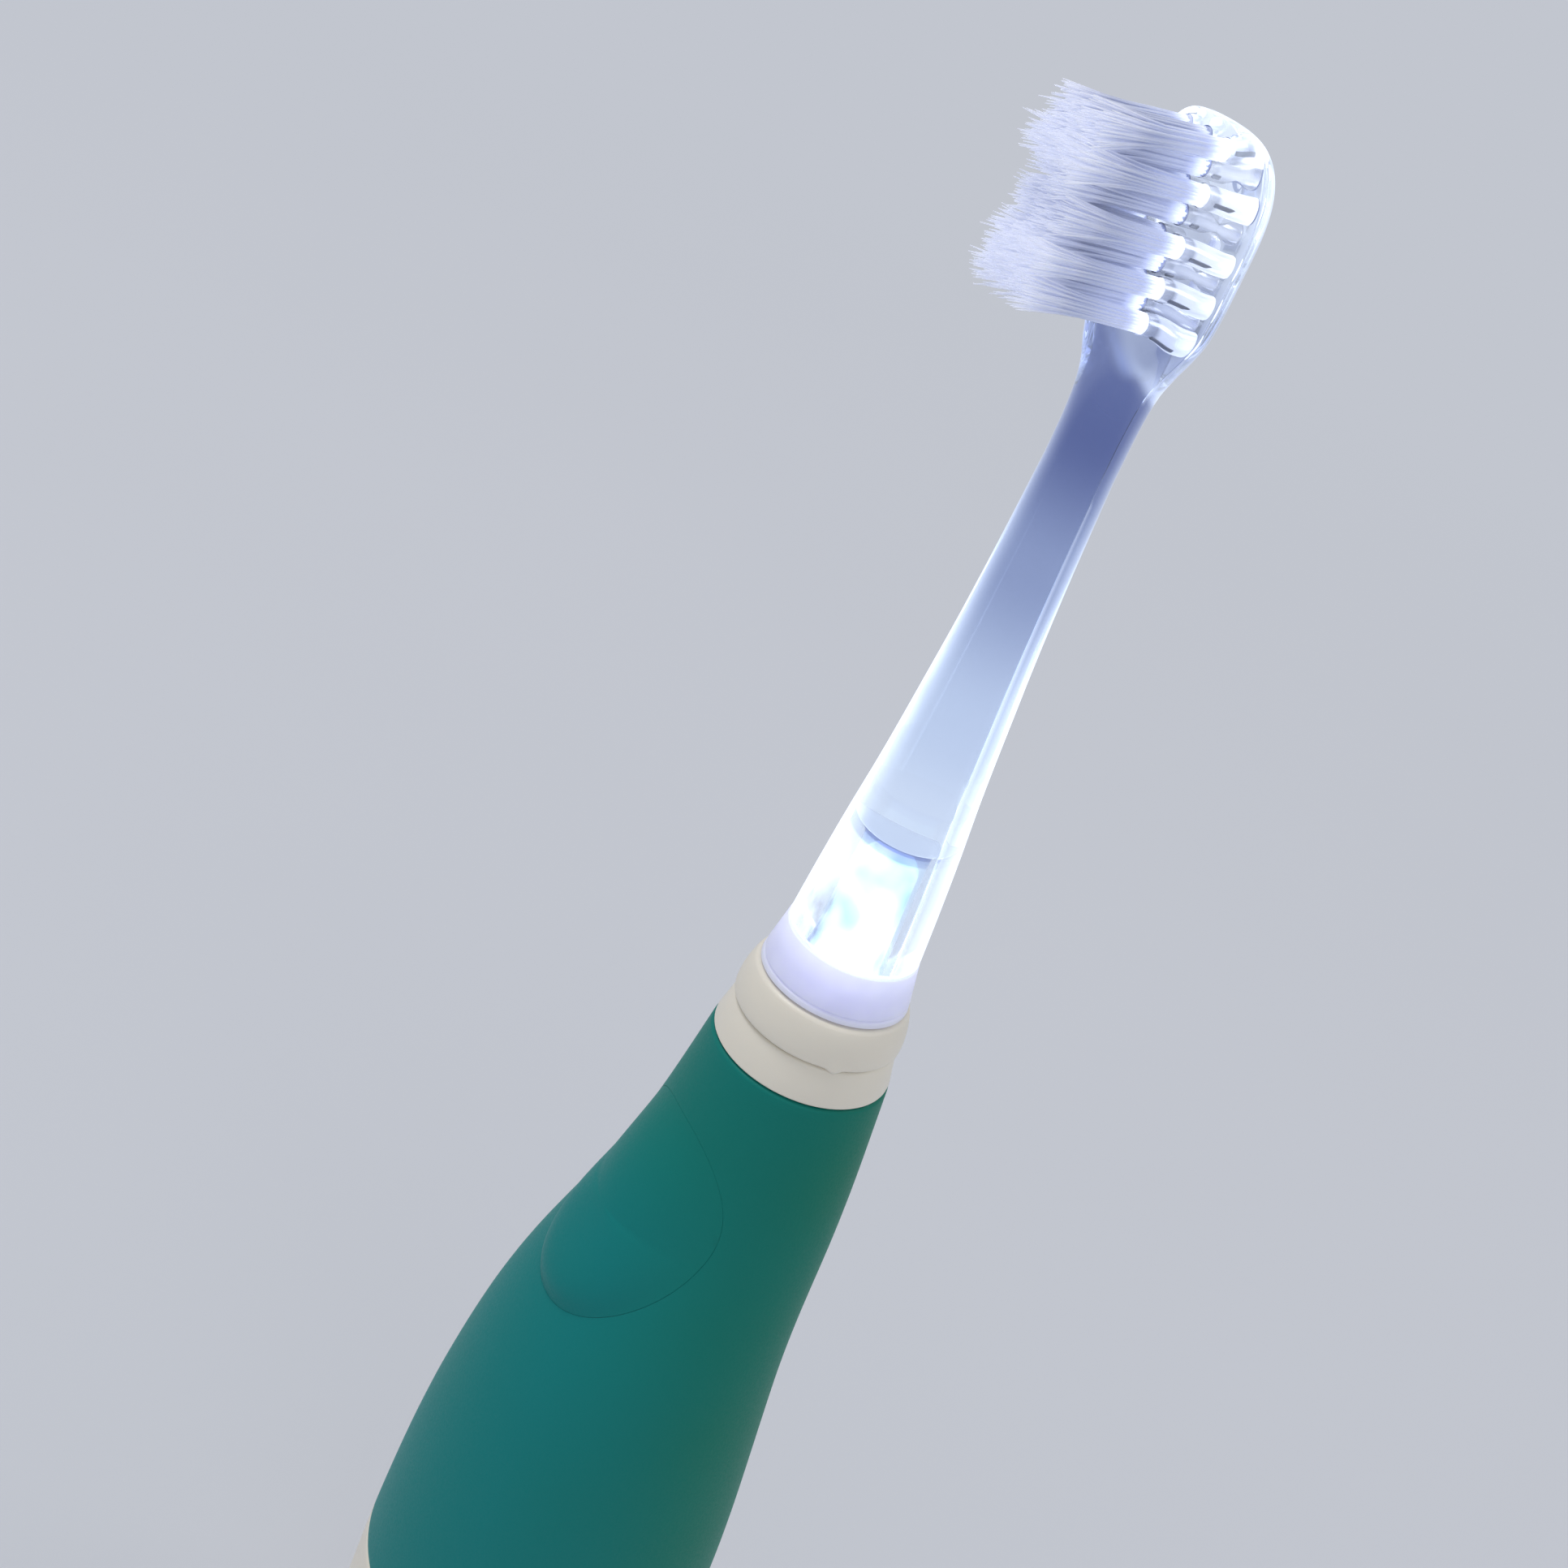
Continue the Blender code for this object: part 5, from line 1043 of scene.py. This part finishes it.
class TOOTHBRUSH_OT_bristles(bpy.types.Operator):
    """Fill every hole with a bundle of filaments, flared and stepped as the worn-in brush has them"""
    bl_idname = "toothbrush.bristles"
    bl_label = "Bristles"

    TUFT_RADIUS = 0.74 * MM
    BUNDLE_RADIUS = 0.77 * MM
    # mm that each row is longer or shorter, and how far it leans up the head, per length
    ROW_STEPS = (0.5, 0.7, 0.7, 0.0, -0.2, 0.3, 1.0, 0.4, 0.0)
    ROW_LEANS = (0.02, 0.0, 0.0, -0.01, 0.0, 0.01, -0.01, -0.05, -0.09)
    MOST_REACH = 11.4 * MM
    SPLAY_START = 0.50
    # shares of a filament's length, and of its thickness there
    TAPER = ((-0.07, 1.0), (0.25, 1.0), (0.5, 1.0), (0.68, 0.96), (0.84, 0.84), (0.95, 0.6), (1.0, 0.3))
    ANCHOR_SIZE = (1.72 * MM, 1.1 * MM, 0.3 * MM, 1.0)
    ANCHOR_MIDDLE = 1.75 * MM      # how far short of the bundle's end the anchor's middle lies
    ANCHOR_TURNS = [math.radians(turn) for turn in (32, -8, 47, 14, -30, 25, 60)]

    def execute(self, context):
        chance = random.Random(11)
        lines = []
        for x, height, row in tuft_places():
            for strand in range(sizes().strands_per_tuft):
                lines.append(self.filament(chance, x, height, row, strand))
        finish_piece("bristles", strands(lines), tapered_nylon("nylon_tapered_filament"),
                     "head", ["bristle_tufts"], sharp=60)
        self.roots()
        return {"FINISHED"}

    def filament(self, chance, x, height, row, strand):
        """One filament: straight in its tuft at first, splayed in its last part, and tapered to a point."""
        radius = sizes().strand_radius
        turn = strand * HALF_TURN * (3 - math.sqrt(5)) + chance.uniform(-0.2, 0.2)
        out = (self.TUFT_RADIUS - radius) * math.sqrt((strand + 0.5) / sizes().strands_per_tuft)
        across, up = out * math.cos(turn), out * math.sin(turn)
        reach = sizes().strand_length + self.ROW_STEPS[row] * MM + chance.gauss(0, 0.2) * MM
        reach = min(reach, self.MOST_REACH)
        lean = self.ROW_LEANS[row] + chance.gauss(0, 0.012)
        fan = chance.uniform(0.2, 1.0)
        sway = (chance.gauss(0, 0.15) * MM, chance.gauss(0, 0.15) * MM)
        # a few strays stand further out
        if chance.random() < 0.02:
            sway = (sway[0] * 3, sway[1] * 3)
        line = []
        for way, thick in self.TAPER:
            out_of_head = max(way, 0.0)
            splay = max(way - self.SPLAY_START, 0.0) / (1 - self.SPLAY_START)
            opened = 1 + 0.25 * out_of_head + fan * splay ** 1.3
            aside, aloft = (drift * splay ** 1.5 for drift in sway)
            place = (x + across * opened + aside, -HEAD_FRONT - reach * way,
                     height + up * opened + lean * reach * out_of_head + aloft)
            line.append((place, radius * thick))
        return line

    def roots(self):
        """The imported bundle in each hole, and the flat metal anchor that wedges it there."""
        bundles = bmesh.new()
        anchors = bmesh.new()
        for index, (x, height, _) in enumerate(tuft_places()):
            start, end = -HEAD_FRONT - 0.1 * MM, hole_end(height) - 0.08 * MM
            for vert in lying_cylinder(bundles, self.BUNDLE_RADIUS, start, end, x, height, 24):
                turn = math.atan2(vert.co.z - height, vert.co.x - x)
                dent = 1 - 0.035 * (1 + math.cos(6 * turn + index))
                vert.co.x = x + (vert.co.x - x) * dent
                vert.co.z = height + (vert.co.z - height) * dent
            turn = self.ANCHOR_TURNS[index % len(self.ANCHOR_TURNS)]
            place = Matrix.Translation((x, end - self.ANCHOR_MIDDLE, height)) @ Matrix.Rotation(turn, 4, "Y")
            bmesh.ops.create_cube(anchors, size=1.0, matrix=place @ Matrix.Diagonal(self.ANCHOR_SIZE))
        soften(bundles, 0.12 * MM, angle=60, segments=2)
        soften(anchors, 0.05 * MM, angle=60, segments=2)
        finish_piece("tuft_bundles", outward(bundles), packed_nylon("nylon_packed_bundle"),
                     "head", sharp=50)
        finish_piece("tuft_anchors", outward(anchors),
                     plain_metal("nickel_silver_punched", "8E8F98", 0.35, (1.0, 0.2, 1.0)),
                     "head")


class TOOTHBRUSH_OT_head_ring(bpy.types.Operator):
    """Turn the translucent ring at the foot of the neck"""
    bl_idname = "toothbrush.head_ring"
    bl_label = "Head Ring"

    def execute(self, context):
        foot = RING_FOOT - SEAM_CLOSED
        line = RING_FOOT + 0.35 * MM
        slope = (RING_TOP_RADIUS - RING_FOOT_RADIUS) / (RING_TOP - RING_FOOT)

        def side(height, inset=0.0):
            return (RING_FOOT_RADIUS + slope * (height - RING_FOOT) - inset, height)

        outline = [
            (RING_BORE, foot), side(foot, 0.02 * MM), side(line - 0.14 * MM, 0.02 * MM),
            side(line - 0.06 * MM, 0.16 * MM), side(line + 0.06 * MM, 0.16 * MM), side(line + 0.14 * MM),
            side(RING_TOP), (RING_BORE, RING_TOP)]
        shape = soften(turned(outline, 128, closed=True), 0.05 * MM, angle=25, segments=2)
        finish_piece("head_ring_frosted", shape,
                     frosted_polypropylene("polypropylene_frosted", colours().head_ring),
                     "head", ["head_ring"])
        return {"FINISHED"}


class TOOTHBRUSH_OT_handle_shell(bpy.types.Operator):
    """Loft the ivory inner body, whose top is the lower collar step, and turn the nose cap on it"""
    bl_idname = "toothbrush.handle_shell"
    bl_label = "Ivory Shell"

    WINDOW_RADIUS = 1.8 * MM       # opening for the button's plunger
    SKIRT_DEPTH = 6 * MM
    NOSE_CROWN = 0.3 * MM
    # the small bump on the nose's lower edge, where the moulding was cut from its runner
    GATE_TURN = math.radians(-17)
    GATE_RADIUS = 0.5 * MM
    GATE_RISE = 0.34 * MM

    def execute(self, context):
        ivory = ivory_abs("abs_ivory_satin", colours().shell)
        finish_piece("handle_shell", self.body(), ivory, "handle", ["handle_body"])
        finish_piece("nose_ring", self.nose(), ivory, "handle", ["nose_cap"])
        return {"FINISHED"}

    def body(self):
        seat_top = SPIGOT_TOP + 2 * MM
        seat = handle_radius(seat_top) - BODY_WALL
        seat_shift = handle_shift(COVER_TOP)
        places = [skin(height, BODY_INSET) for height in levels(GRIP_FOOT, COLLAR_FOOT, 40)]
        places += [round_ring(COLLAR_FOOT_RADIUS, COLLAR_FOOT), round_ring(COLLAR_TOP_RADIUS, COLLAR_TOP),
                   round_ring(NOSE_BORE, COLLAR_TOP)]
        for height in levels(COLLAR_TOP - 10 * MM, SPIGOT_TOP + 3 * MM, 30):
            places.append(round_ring(max(handle_radius(height) - BODY_WALL, NOSE_BORE), height,
                                     handle_shift(height)))
        places += [round_ring(seat, seat_top, seat_shift), round_ring(seat, GRIP_FOOT, seat_shift)]
        shape = soften(lofted(places, 96, closed=True), sizes().edge_round, angle=40)
        window = bmesh.new()
        height = (low("button_plunger").z + high("button_plunger").z) / 2
        front = front_skin(0, height)
        lying_cylinder(window, self.WINDOW_RADIUS, front - 7 * MM, front + 7 * MM, 0, height, 32)
        return cut_from(shape, window)

    def nose(self):
        foot = COLLAR_TOP + GAP - SEAM_CLOSED
        skirt = NOSE_BORE - GAP
        bore = skirt - 0.7 * MM
        outline = [self.crowned(share, foot) for share in levels(0.0, 1.0, 12)]
        outline += [(skirt, foot), (skirt, foot - self.SKIRT_DEPTH), (bore, foot - self.SKIRT_DEPTH),
                    (bore, NOSE_TOP)]
        shape = soften(turned(outline, 160, closed=True), sizes().edge_round, angle=40)
        for vert in shape.verts:
            if vert.co.xy.length > skirt + 0.4 * MM:
                round_way = NOSE_FOOT_RADIUS * (math.atan2(vert.co.y, vert.co.x) - self.GATE_TURN)
                away = Vector((round_way, vert.co.z - foot)).length
                rise = self.GATE_RISE * math.exp(-(away / self.GATE_RADIUS) ** 2)
                vert.co += Vector((vert.co.x, vert.co.y, -vert.co.xy.length)).normalized() * rise
        return shape

    def crowned(self, share, foot):
        """Radius and height on the nose's crowned side, from its top to its foot."""
        radius = NOSE_TOP_RADIUS + (NOSE_FOOT_RADIUS - NOSE_TOP_RADIUS) * share
        crown = self.NOSE_CROWN * (4 * share * (1 - share)) ** 0.7
        return radius + crown, NOSE_TOP + (foot - NOSE_TOP) * share


class TOOTHBRUSH_OT_grip(bpy.types.Operator):
    """Loft the soft teal sleeve and cut the button's opening in it"""
    bl_idname = "toothbrush.grip"
    bl_label = "Soft Grip"

    def execute(self, context):
        edge = sizes().edge_round
        foot, top = GRIP_FOOT - SEAM_CLOSED, GRIP_TOP + SEAM_CLOSED
        outer = rolled_edge(foot, edge, False)[::-1]
        outer += [(height, 0.0) for height in levels(foot + edge, top - edge, 90)]
        outer += rolled_edge(top, edge, True)
        places = [skin(height, inset) for height, inset in outer]
        places += [skin(height, GRIP_WALL) for height in levels(top, foot, 30)]
        finish_piece("soft_grip", cut_from(lofted(places, 144, closed=True), self.opening()),
                     teal_elastomer("elastomer_soft_touch_teal", colours().grip, colours().grip_shade),
                     "handle", ["grip_sleeve"])
        return {"FINISHED"}

    def opening(self):
        """The button's oval, wider by its seam, from in front of the grip to its middle."""
        def rim(depth):
            def place(turn):
                x, height = button_point(turn, 1.0, sizes().button_seam)
                return Vector((x, depth, height))
            return place

        depths = (-BELLY_RADIUS - BELLY_SHIFT - 1 * MM, 0.0)
        poles = [Vector((0, depth, BUTTON_HEIGHT)) for depth in depths]
        return lofted([rim(depth) for depth in depths], 128, *poles)


class TOOTHBRUSH_OT_button(bpy.types.Operator):
    """Raise the soft domed button that carries on the grip's surface"""
    bl_idname = "toothbrush.button"
    bl_label = "Power Button"

    RINGS = 26
    UNDERSIDE = 5.0     # how much squarer the dome runs out below than above

    def execute(self, context):
        places = [self.face(step / self.RINGS) for step in range(1, self.RINGS + 1)]
        places += [self.rear(share) for share in (1.0, 0.75, 0.5, 0.25, 0.08)]
        middle = front_skin(0, BUTTON_HEIGHT)
        poles = [Vector((0, middle + depth, BUTTON_HEIGHT)) for depth in (-sizes().button_dome, BUTTON_WALL)]
        finish_piece("soft_button", lofted(places, 128, *poles),
                     teal_elastomer("elastomer_soft_touch_button", colours().grip, colours().grip_shade),
                     "button", ["power_button"])
        return {"FINISHED"}

    def face(self, share):
        def place(turn):
            x, height = button_point(turn, share)
            below = max(-math.sin(turn), 0.0)
            dome = sizes().button_dome * (1 - share ** (2 + self.UNDERSIDE * below)) ** (1.6 - 0.3 * below)
            return Vector((x, front_skin(x, height) - dome, height))
        return place

    def rear(self, share):
        def place(turn):
            x, height = button_point(turn, share)
            return Vector((x, front_skin(x, height) + BUTTON_WALL, height))
        return place


class TOOTHBRUSH_OT_battery_end(bpy.types.Operator):
    """Loft the ivory battery cover and its seal, and press the soft foot into it"""
    bl_idname = "toothbrush.battery_end"
    bl_label = "Battery Cover"

    COVER_WALL = 1.8 * MM
    SPIGOT_WALL = 2.4 * MM
    SEAL_HEIGHT = SPIGOT_TOP - 3.6 * MM
    SEAL_HALF = 0.475 * MM
    GROOVE_HALF = 0.775 * MM
    GROOVE_DEPTH = 1.25 * MM
    TREADS = (8.3 * MM, 5.6 * MM)      # radii of the two shallow rings in the foot's underside

    def execute(self, context):
        finish_piece("cover_shell", self.cover(), ivory_abs("abs_ivory_satin_cover", colours().shell),
                     "cover", ["battery_cover"])
        finish_piece("cover_seal", self.seal(), plain_polymer("nitrile_rubber_moulded", "34363B", 0.5),
                     "cover", ["cover_o_ring"], sharp=80)
        finish_piece("soft_foot", self.foot(),
                     teal_elastomer("elastomer_soft_touch_foot", colours().grip, colours().grip_shade),
                     "cover", ["base_pad"])
        return {"FINISHED"}

    def spigot(self):
        """Radius and shift of the part of the cover that goes up into the handle."""
        return handle_radius(SPIGOT_TOP + 2 * MM) - BODY_WALL - GAP, handle_shift(COVER_TOP)

    def cover(self):
        spigot, shift = self.spigot()
        groove = spigot - self.GROOVE_DEPTH
        groove_foot, groove_top = self.SEAL_HEIGHT - self.GROOVE_HALF, self.SEAL_HEIGHT + self.GROOVE_HALF
        bore = spigot - self.SPIGOT_WALL
        bore_foot = COVER_TOP - self.SPIGOT_WALL
        pad = high("base_pad").x + GAP
        floor = PAD_TOP + GAP
        inner_foot = floor + 2.2 * MM
        foot_shift = handle_shift(0)
        places = [round_ring(pad, floor, foot_shift), round_ring(pad, COVER_FOOT, foot_shift)]
        places += [skin(height) for height in levels(COVER_FOOT, COVER_TOP, 36)]
        places += [
            round_ring(radius, height, shift) for radius, height in (
                (spigot, COVER_TOP), (spigot, groove_foot), (groove, groove_foot), (groove, groove_top),
                (spigot, groove_top), (spigot, SPIGOT_TOP), (bore, SPIGOT_TOP), (bore, bore_foot))]
        inner_heights = levels(bore_foot - self.COVER_WALL, inner_foot, 14)
        places += [skin(height, self.COVER_WALL) for height in inner_heights]
        shape = lofted(places, 112, Vector((0, foot_shift, floor)), Vector((0, foot_shift, inner_foot)))
        return soften(shape, 0.25 * MM, angle=40)

    def seal(self):
        spigot, shift = self.spigot()
        half = self.SEAL_HALF
        outline = [(spigot - half + half * math.sin(turn), self.SEAL_HEIGHT + half * math.cos(turn))
                   for turn in levels(0, FULL_TURN, 20)[:-1]]
        return turned(outline, 96, shift, closed=True)

    def foot(self):
        """A disc whose underside has two shallow rings moulded into it, so that it grips a wet shelf."""
        edge = high("base_pad").x
        outline = [(0.0, PAD_TOP), (edge, PAD_TOP), (edge, 0.0)]
        for radius in self.TREADS:
            outline += [(radius + out * MM, depth * MM)
                        for out, depth in ((0.4, 0.0), (0.25, 0.3), (-0.25, 0.3), (-0.4, 0.0))]
        outline.append((0.0, 0.0))
        return soften(turned(outline, 96, handle_shift(0)), 0.1 * MM, angle=40, segments=2)


class TOOTHBRUSH_OT_cell(bpy.types.Operator):
    """Stand one dry cell on its spring inside the cover"""
    bl_idname = "toothbrush.cell"
    bl_label = "Cell and Spring"

    TIP_RADIUS = 1.9 * MM
    WIRE_RADIUS = 0.25 * MM
    COILS = 4
    COIL_FOOT = 3.9 * MM       # radius of the spring's lowest coil
    COIL_TOP = 2.6 * MM

    def execute(self, context):
        shift = (low("battery").y + high("battery").y) / 2
        radius = high("battery").x
        shoulder = CELL_TIP - 0.8 * MM
        under = radius - 0.25 * MM
        sleeve = [
            (radius - 1.0 * MM, shoulder - 0.1 * MM), (radius - 0.9 * MM, shoulder),
            (radius, shoulder - 0.35 * MM), (radius, CELL_FOOT + 0.3 * MM),
            (radius - 0.7 * MM, CELL_FOOT + 0.02 * MM), (radius - 0.8 * MM, CELL_FOOT + 0.12 * MM),
            (under, CELL_FOOT + 0.5 * MM), (under, shoulder - 0.5 * MM)]
        can = [
            (0.0, CELL_TIP), (self.TIP_RADIUS, CELL_TIP), (self.TIP_RADIUS + 0.05 * MM, shoulder - 0.15 * MM),
            (radius - 0.8 * MM, shoulder - 0.15 * MM), (radius - 0.3 * MM, shoulder - 0.6 * MM),
            (radius - 0.3 * MM, CELL_FOOT + 0.5 * MM), (radius - 0.8 * MM, CELL_FOOT + 0.15 * MM),
            (radius - 1.4 * MM, CELL_FOOT), (0.0, CELL_FOOT)]
        finish_piece("cell_can", soften(turned(can, 96, shift), 0.12 * MM, angle=30),
                     plain_metal("nickel_plated_steel_pressed", "C9C9C6", 0.25, (1.0, 1.0, 0.3)),
                     "battery")
        sleeve_shape = soften(turned(sleeve, 96, shift, closed=True), 0.06 * MM, angle=50, segments=2)
        finish_piece("cell_sleeve", sleeve_shape, cell_sleeve("pvc_shrink_sleeve"),
                     "battery", ["battery"])
        finish_piece("cell_spring", strands([self.coil(shift)], sides=4),
                     plain_metal("spring_wire_nickel_plated", "BDBDB8", 0.3),
                     "cover", ["negative_spring"], sharp=60)
        return {"FINISHED"}

    def coil(self, shift):
        """The line of the spring, with the wire's radius at each point."""
        foot = low("negative_spring").z + self.WIRE_RADIUS
        top = high("negative_spring").z - self.WIRE_RADIUS
        line = []
        for share in levels(0.0, 1.0, 160):
            turn = FULL_TURN * self.COILS * share
            around = self.COIL_FOOT + (self.COIL_TOP - self.COIL_FOOT) * share
            place = (around * math.cos(turn), around * math.sin(turn) + shift, foot + (top - foot) * share)
            line.append((place, self.WIRE_RADIUS))
        return line


class TOOTHBRUSH_OT_lamp(bpy.types.Operator):
    """Turn the lit post, its lamp, the steel stem and the rubber seal that they rock in"""
    bl_idname = "toothbrush.lamp"
    bl_label = "Light Post"

    STEM_BORE = 0.8 * MM
    LAMP_BORE = 1.8 * MM
    RUBBER_WALL = 0.7 * MM

    def execute(self, context):
        finish_piece("post_lit", self.post(), lit_post("copolyester_post_lit"),
                     "rocker", ["light_post"])
        finish_piece("lamp_lens_lit", self.lens(), lamp_epoxy("epoxy_lens_water_clear"),
                     "rocker", ["led_lamp"], sharp=50)
        tube = [(STEM_RADIUS, STEM_TOP), (STEM_RADIUS, STEM_FOOT), (self.STEM_BORE, STEM_FOOT),
                (self.STEM_BORE, STEM_TOP)]
        finish_piece("stem_tube", soften(turned(tube, 64, closed=True), 0.1 * MM, angle=40),
                     plain_metal("stainless_tube_drawn", "B9BBBD", 0.22, (1.0, 1.0, 0.1)),
                     "rocker", ["drive_stem"])
        finish_piece("seal_bellows", self.bellows(), plain_polymer("silicone_seal_moulded", "6A6C72", 0.55),
                     "handle", ["nose_seal"])
        return {"FINISHED"}

    def post(self):
        """A tapered post with a bore for the stem and, above it, one for the lamp."""
        foot = high("light_post").x
        top = foot - 0.6 * MM
        stem, stem_end = STEM_RADIUS + GAP, STEM_TOP + GAP
        lamp, lamp_end = self.LAMP_BORE, POST_TOP - 3.2 * MM
        outline = [
            (0.0, POST_TOP), (top - 0.75 * MM, POST_TOP), (top, POST_TOP - 0.9 * MM), (foot, POST_FOOT),
            (stem, POST_FOOT), (stem, stem_end), (lamp, stem_end), (lamp, lamp_end), (0.0, lamp_end)]
        return soften(turned(outline, 96), 0.15 * MM, angle=25)

    def lens(self):
        radius = high("led_lamp").x
        outline = [(0.0, LAMP_FOOT), (radius, LAMP_FOOT), (radius, LAMP_FOOT + 0.6 * MM),
                   (radius - 0.12 * MM, LAMP_FOOT + 0.8 * MM)]
        outline += [(radius * math.cos(turn), LAMP_TOP - radius + radius * math.sin(turn))
                    for turn in levels(0, QUARTER_TURN, 10)[:-1]]
        return turned(outline + [(0.0, LAMP_TOP)], 48)

    def bellows(self):
        """A hub and a rim of one height, joined by a web with one fold."""
        foot, top = low("nose_seal").z, high("nose_seal").z
        hub_bore, rim = STEM_RADIUS + GAP, high("nose_seal").x
        hub, rim_bore = hub_bore + self.RUBBER_WALL, rim - self.RUBBER_WALL
        web_foot, web_top = ((top + foot) / 2 + side * self.RUBBER_WALL for side in (-1, 1))
        fold, rise = (hub + rim_bore) / 2, 0.3 * MM
        outline = [
            (rim, top), (rim, foot), (rim_bore, foot), (rim_bore, web_foot), (fold, web_foot + rise),
            (hub, web_foot), (hub, foot), (hub_bore, foot), (hub_bore, top), (hub, top), (hub, web_top),
            (fold, web_top + rise), (rim_bore, web_top), (rim_bore, top)]
        return soften(turned(outline, 80, closed=True), 0.12 * MM, angle=30)


class TOOTHBRUSH_OT_inner_finishes(bpy.types.Operator):
    """Give every inner solid the finish of its real material"""
    bl_idname = "toothbrush.inner_finishes"
    bl_label = "Inner Finishes"

    def execute(self, context):
        finishes = (
            (plain_metal("nickel_plated_strip_rolled", "C6C6C2", 0.28, (1.0, 1.0, 0.2)),
             ("positive_contact", "negative_strip", "cover_contact", "lamp_lead_left", "lamp_lead_right")),
            (plain_metal("zinc_plated_can_drawn", "B4B6B8", 0.3, (1.0, 1.0, 0.1)), ("motor_can",)),
            (plain_metal("hardened_shaft_ground", "C2C4C6", 0.18, (1.0, 1.0, 4.0)), ("motor_shaft",)),
            (plain_metal("brass_stamped", "C79A4B", 0.3),
             ("motor_terminal_left", "motor_terminal_right", "switch_stem")),
            (plain_metal("tungsten_alloy_sintered", "77777A", 0.5, size=0.25 * MM), ("eccentric_weight",)),
            (plain_polymer("polyacetal_moulded_grey", "8C9096", 0.48), ("chassis", "motor_cradle")),
            (plain_polymer("moulding_epoxy_black", "1B1B1D", 0.45),
             ("control_chip", "resistor_left", "resistor_right", "tact_switch", "motor_end_cap")),
            (ivory_abs("abs_ivory_plunger", colours().shell), ("button_plunger",)),
            (plain_polymer("pvc_wire_cover_red", "B32420", 0.42, size=0.6 * MM), ("motor_lead_left",)),
            (plain_polymer("pvc_wire_cover_black", "202124", 0.42, size=0.6 * MM), ("motor_lead_right",)),
            (circuit_laminate("glass_epoxy_green_lacquer"), ("main_board",)),
        )
        for material, names in finishes:
            for name in names:
                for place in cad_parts[name].material_slots:
                    place.material = material
        return {"FINISHED"}


class TOOTHBRUSH_PT_pieces(bpy.types.Panel):
    """Lists the pieces, their sizes and their colours"""
    bl_idname = "TOOTHBRUSH_PT_pieces"
    bl_label = "Toothbrush"
    bl_space_type = "VIEW_3D"
    bl_region_type = "UI"
    bl_category = "Toothbrush"

    def draw(self, context):
        layout = self.layout
        for group in (sizes(), colours()):
            box = layout.box()
            for name in group.__annotations__:
                box.prop(group, name)
        for operator in OPERATORS:
            layout.operator(operator.bl_idname)


OPERATORS = (
    TOOTHBRUSH_OT_stage, TOOTHBRUSH_OT_brush_neck, TOOTHBRUSH_OT_bristles, TOOTHBRUSH_OT_head_ring,
    TOOTHBRUSH_OT_handle_shell, TOOTHBRUSH_OT_grip, TOOTHBRUSH_OT_button, TOOTHBRUSH_OT_battery_end,
    TOOTHBRUSH_OT_cell, TOOTHBRUSH_OT_lamp, TOOTHBRUSH_OT_inner_finishes,
)
CLASSES = (ToothbrushSizes, ToothbrushColours, *OPERATORS, TOOTHBRUSH_PT_pieces)


def register():
    for kind in CLASSES:
        bpy.utils.register_class(kind)
    bpy.types.Scene.toothbrush_sizes = PointerProperty(type=ToothbrushSizes)
    bpy.types.Scene.toothbrush_colours = PointerProperty(type=ToothbrushColours)


def unregister():
    del bpy.types.Scene.toothbrush_sizes
    del bpy.types.Scene.toothbrush_colours
    for kind in reversed(CLASSES):
        bpy.utils.unregister_class(kind)


def main():
    register()
    for operator in OPERATORS:
        group, name = operator.bl_idname.split(".")
        getattr(getattr(bpy.ops, group), name)()


if __name__ == "__main__":
    main()
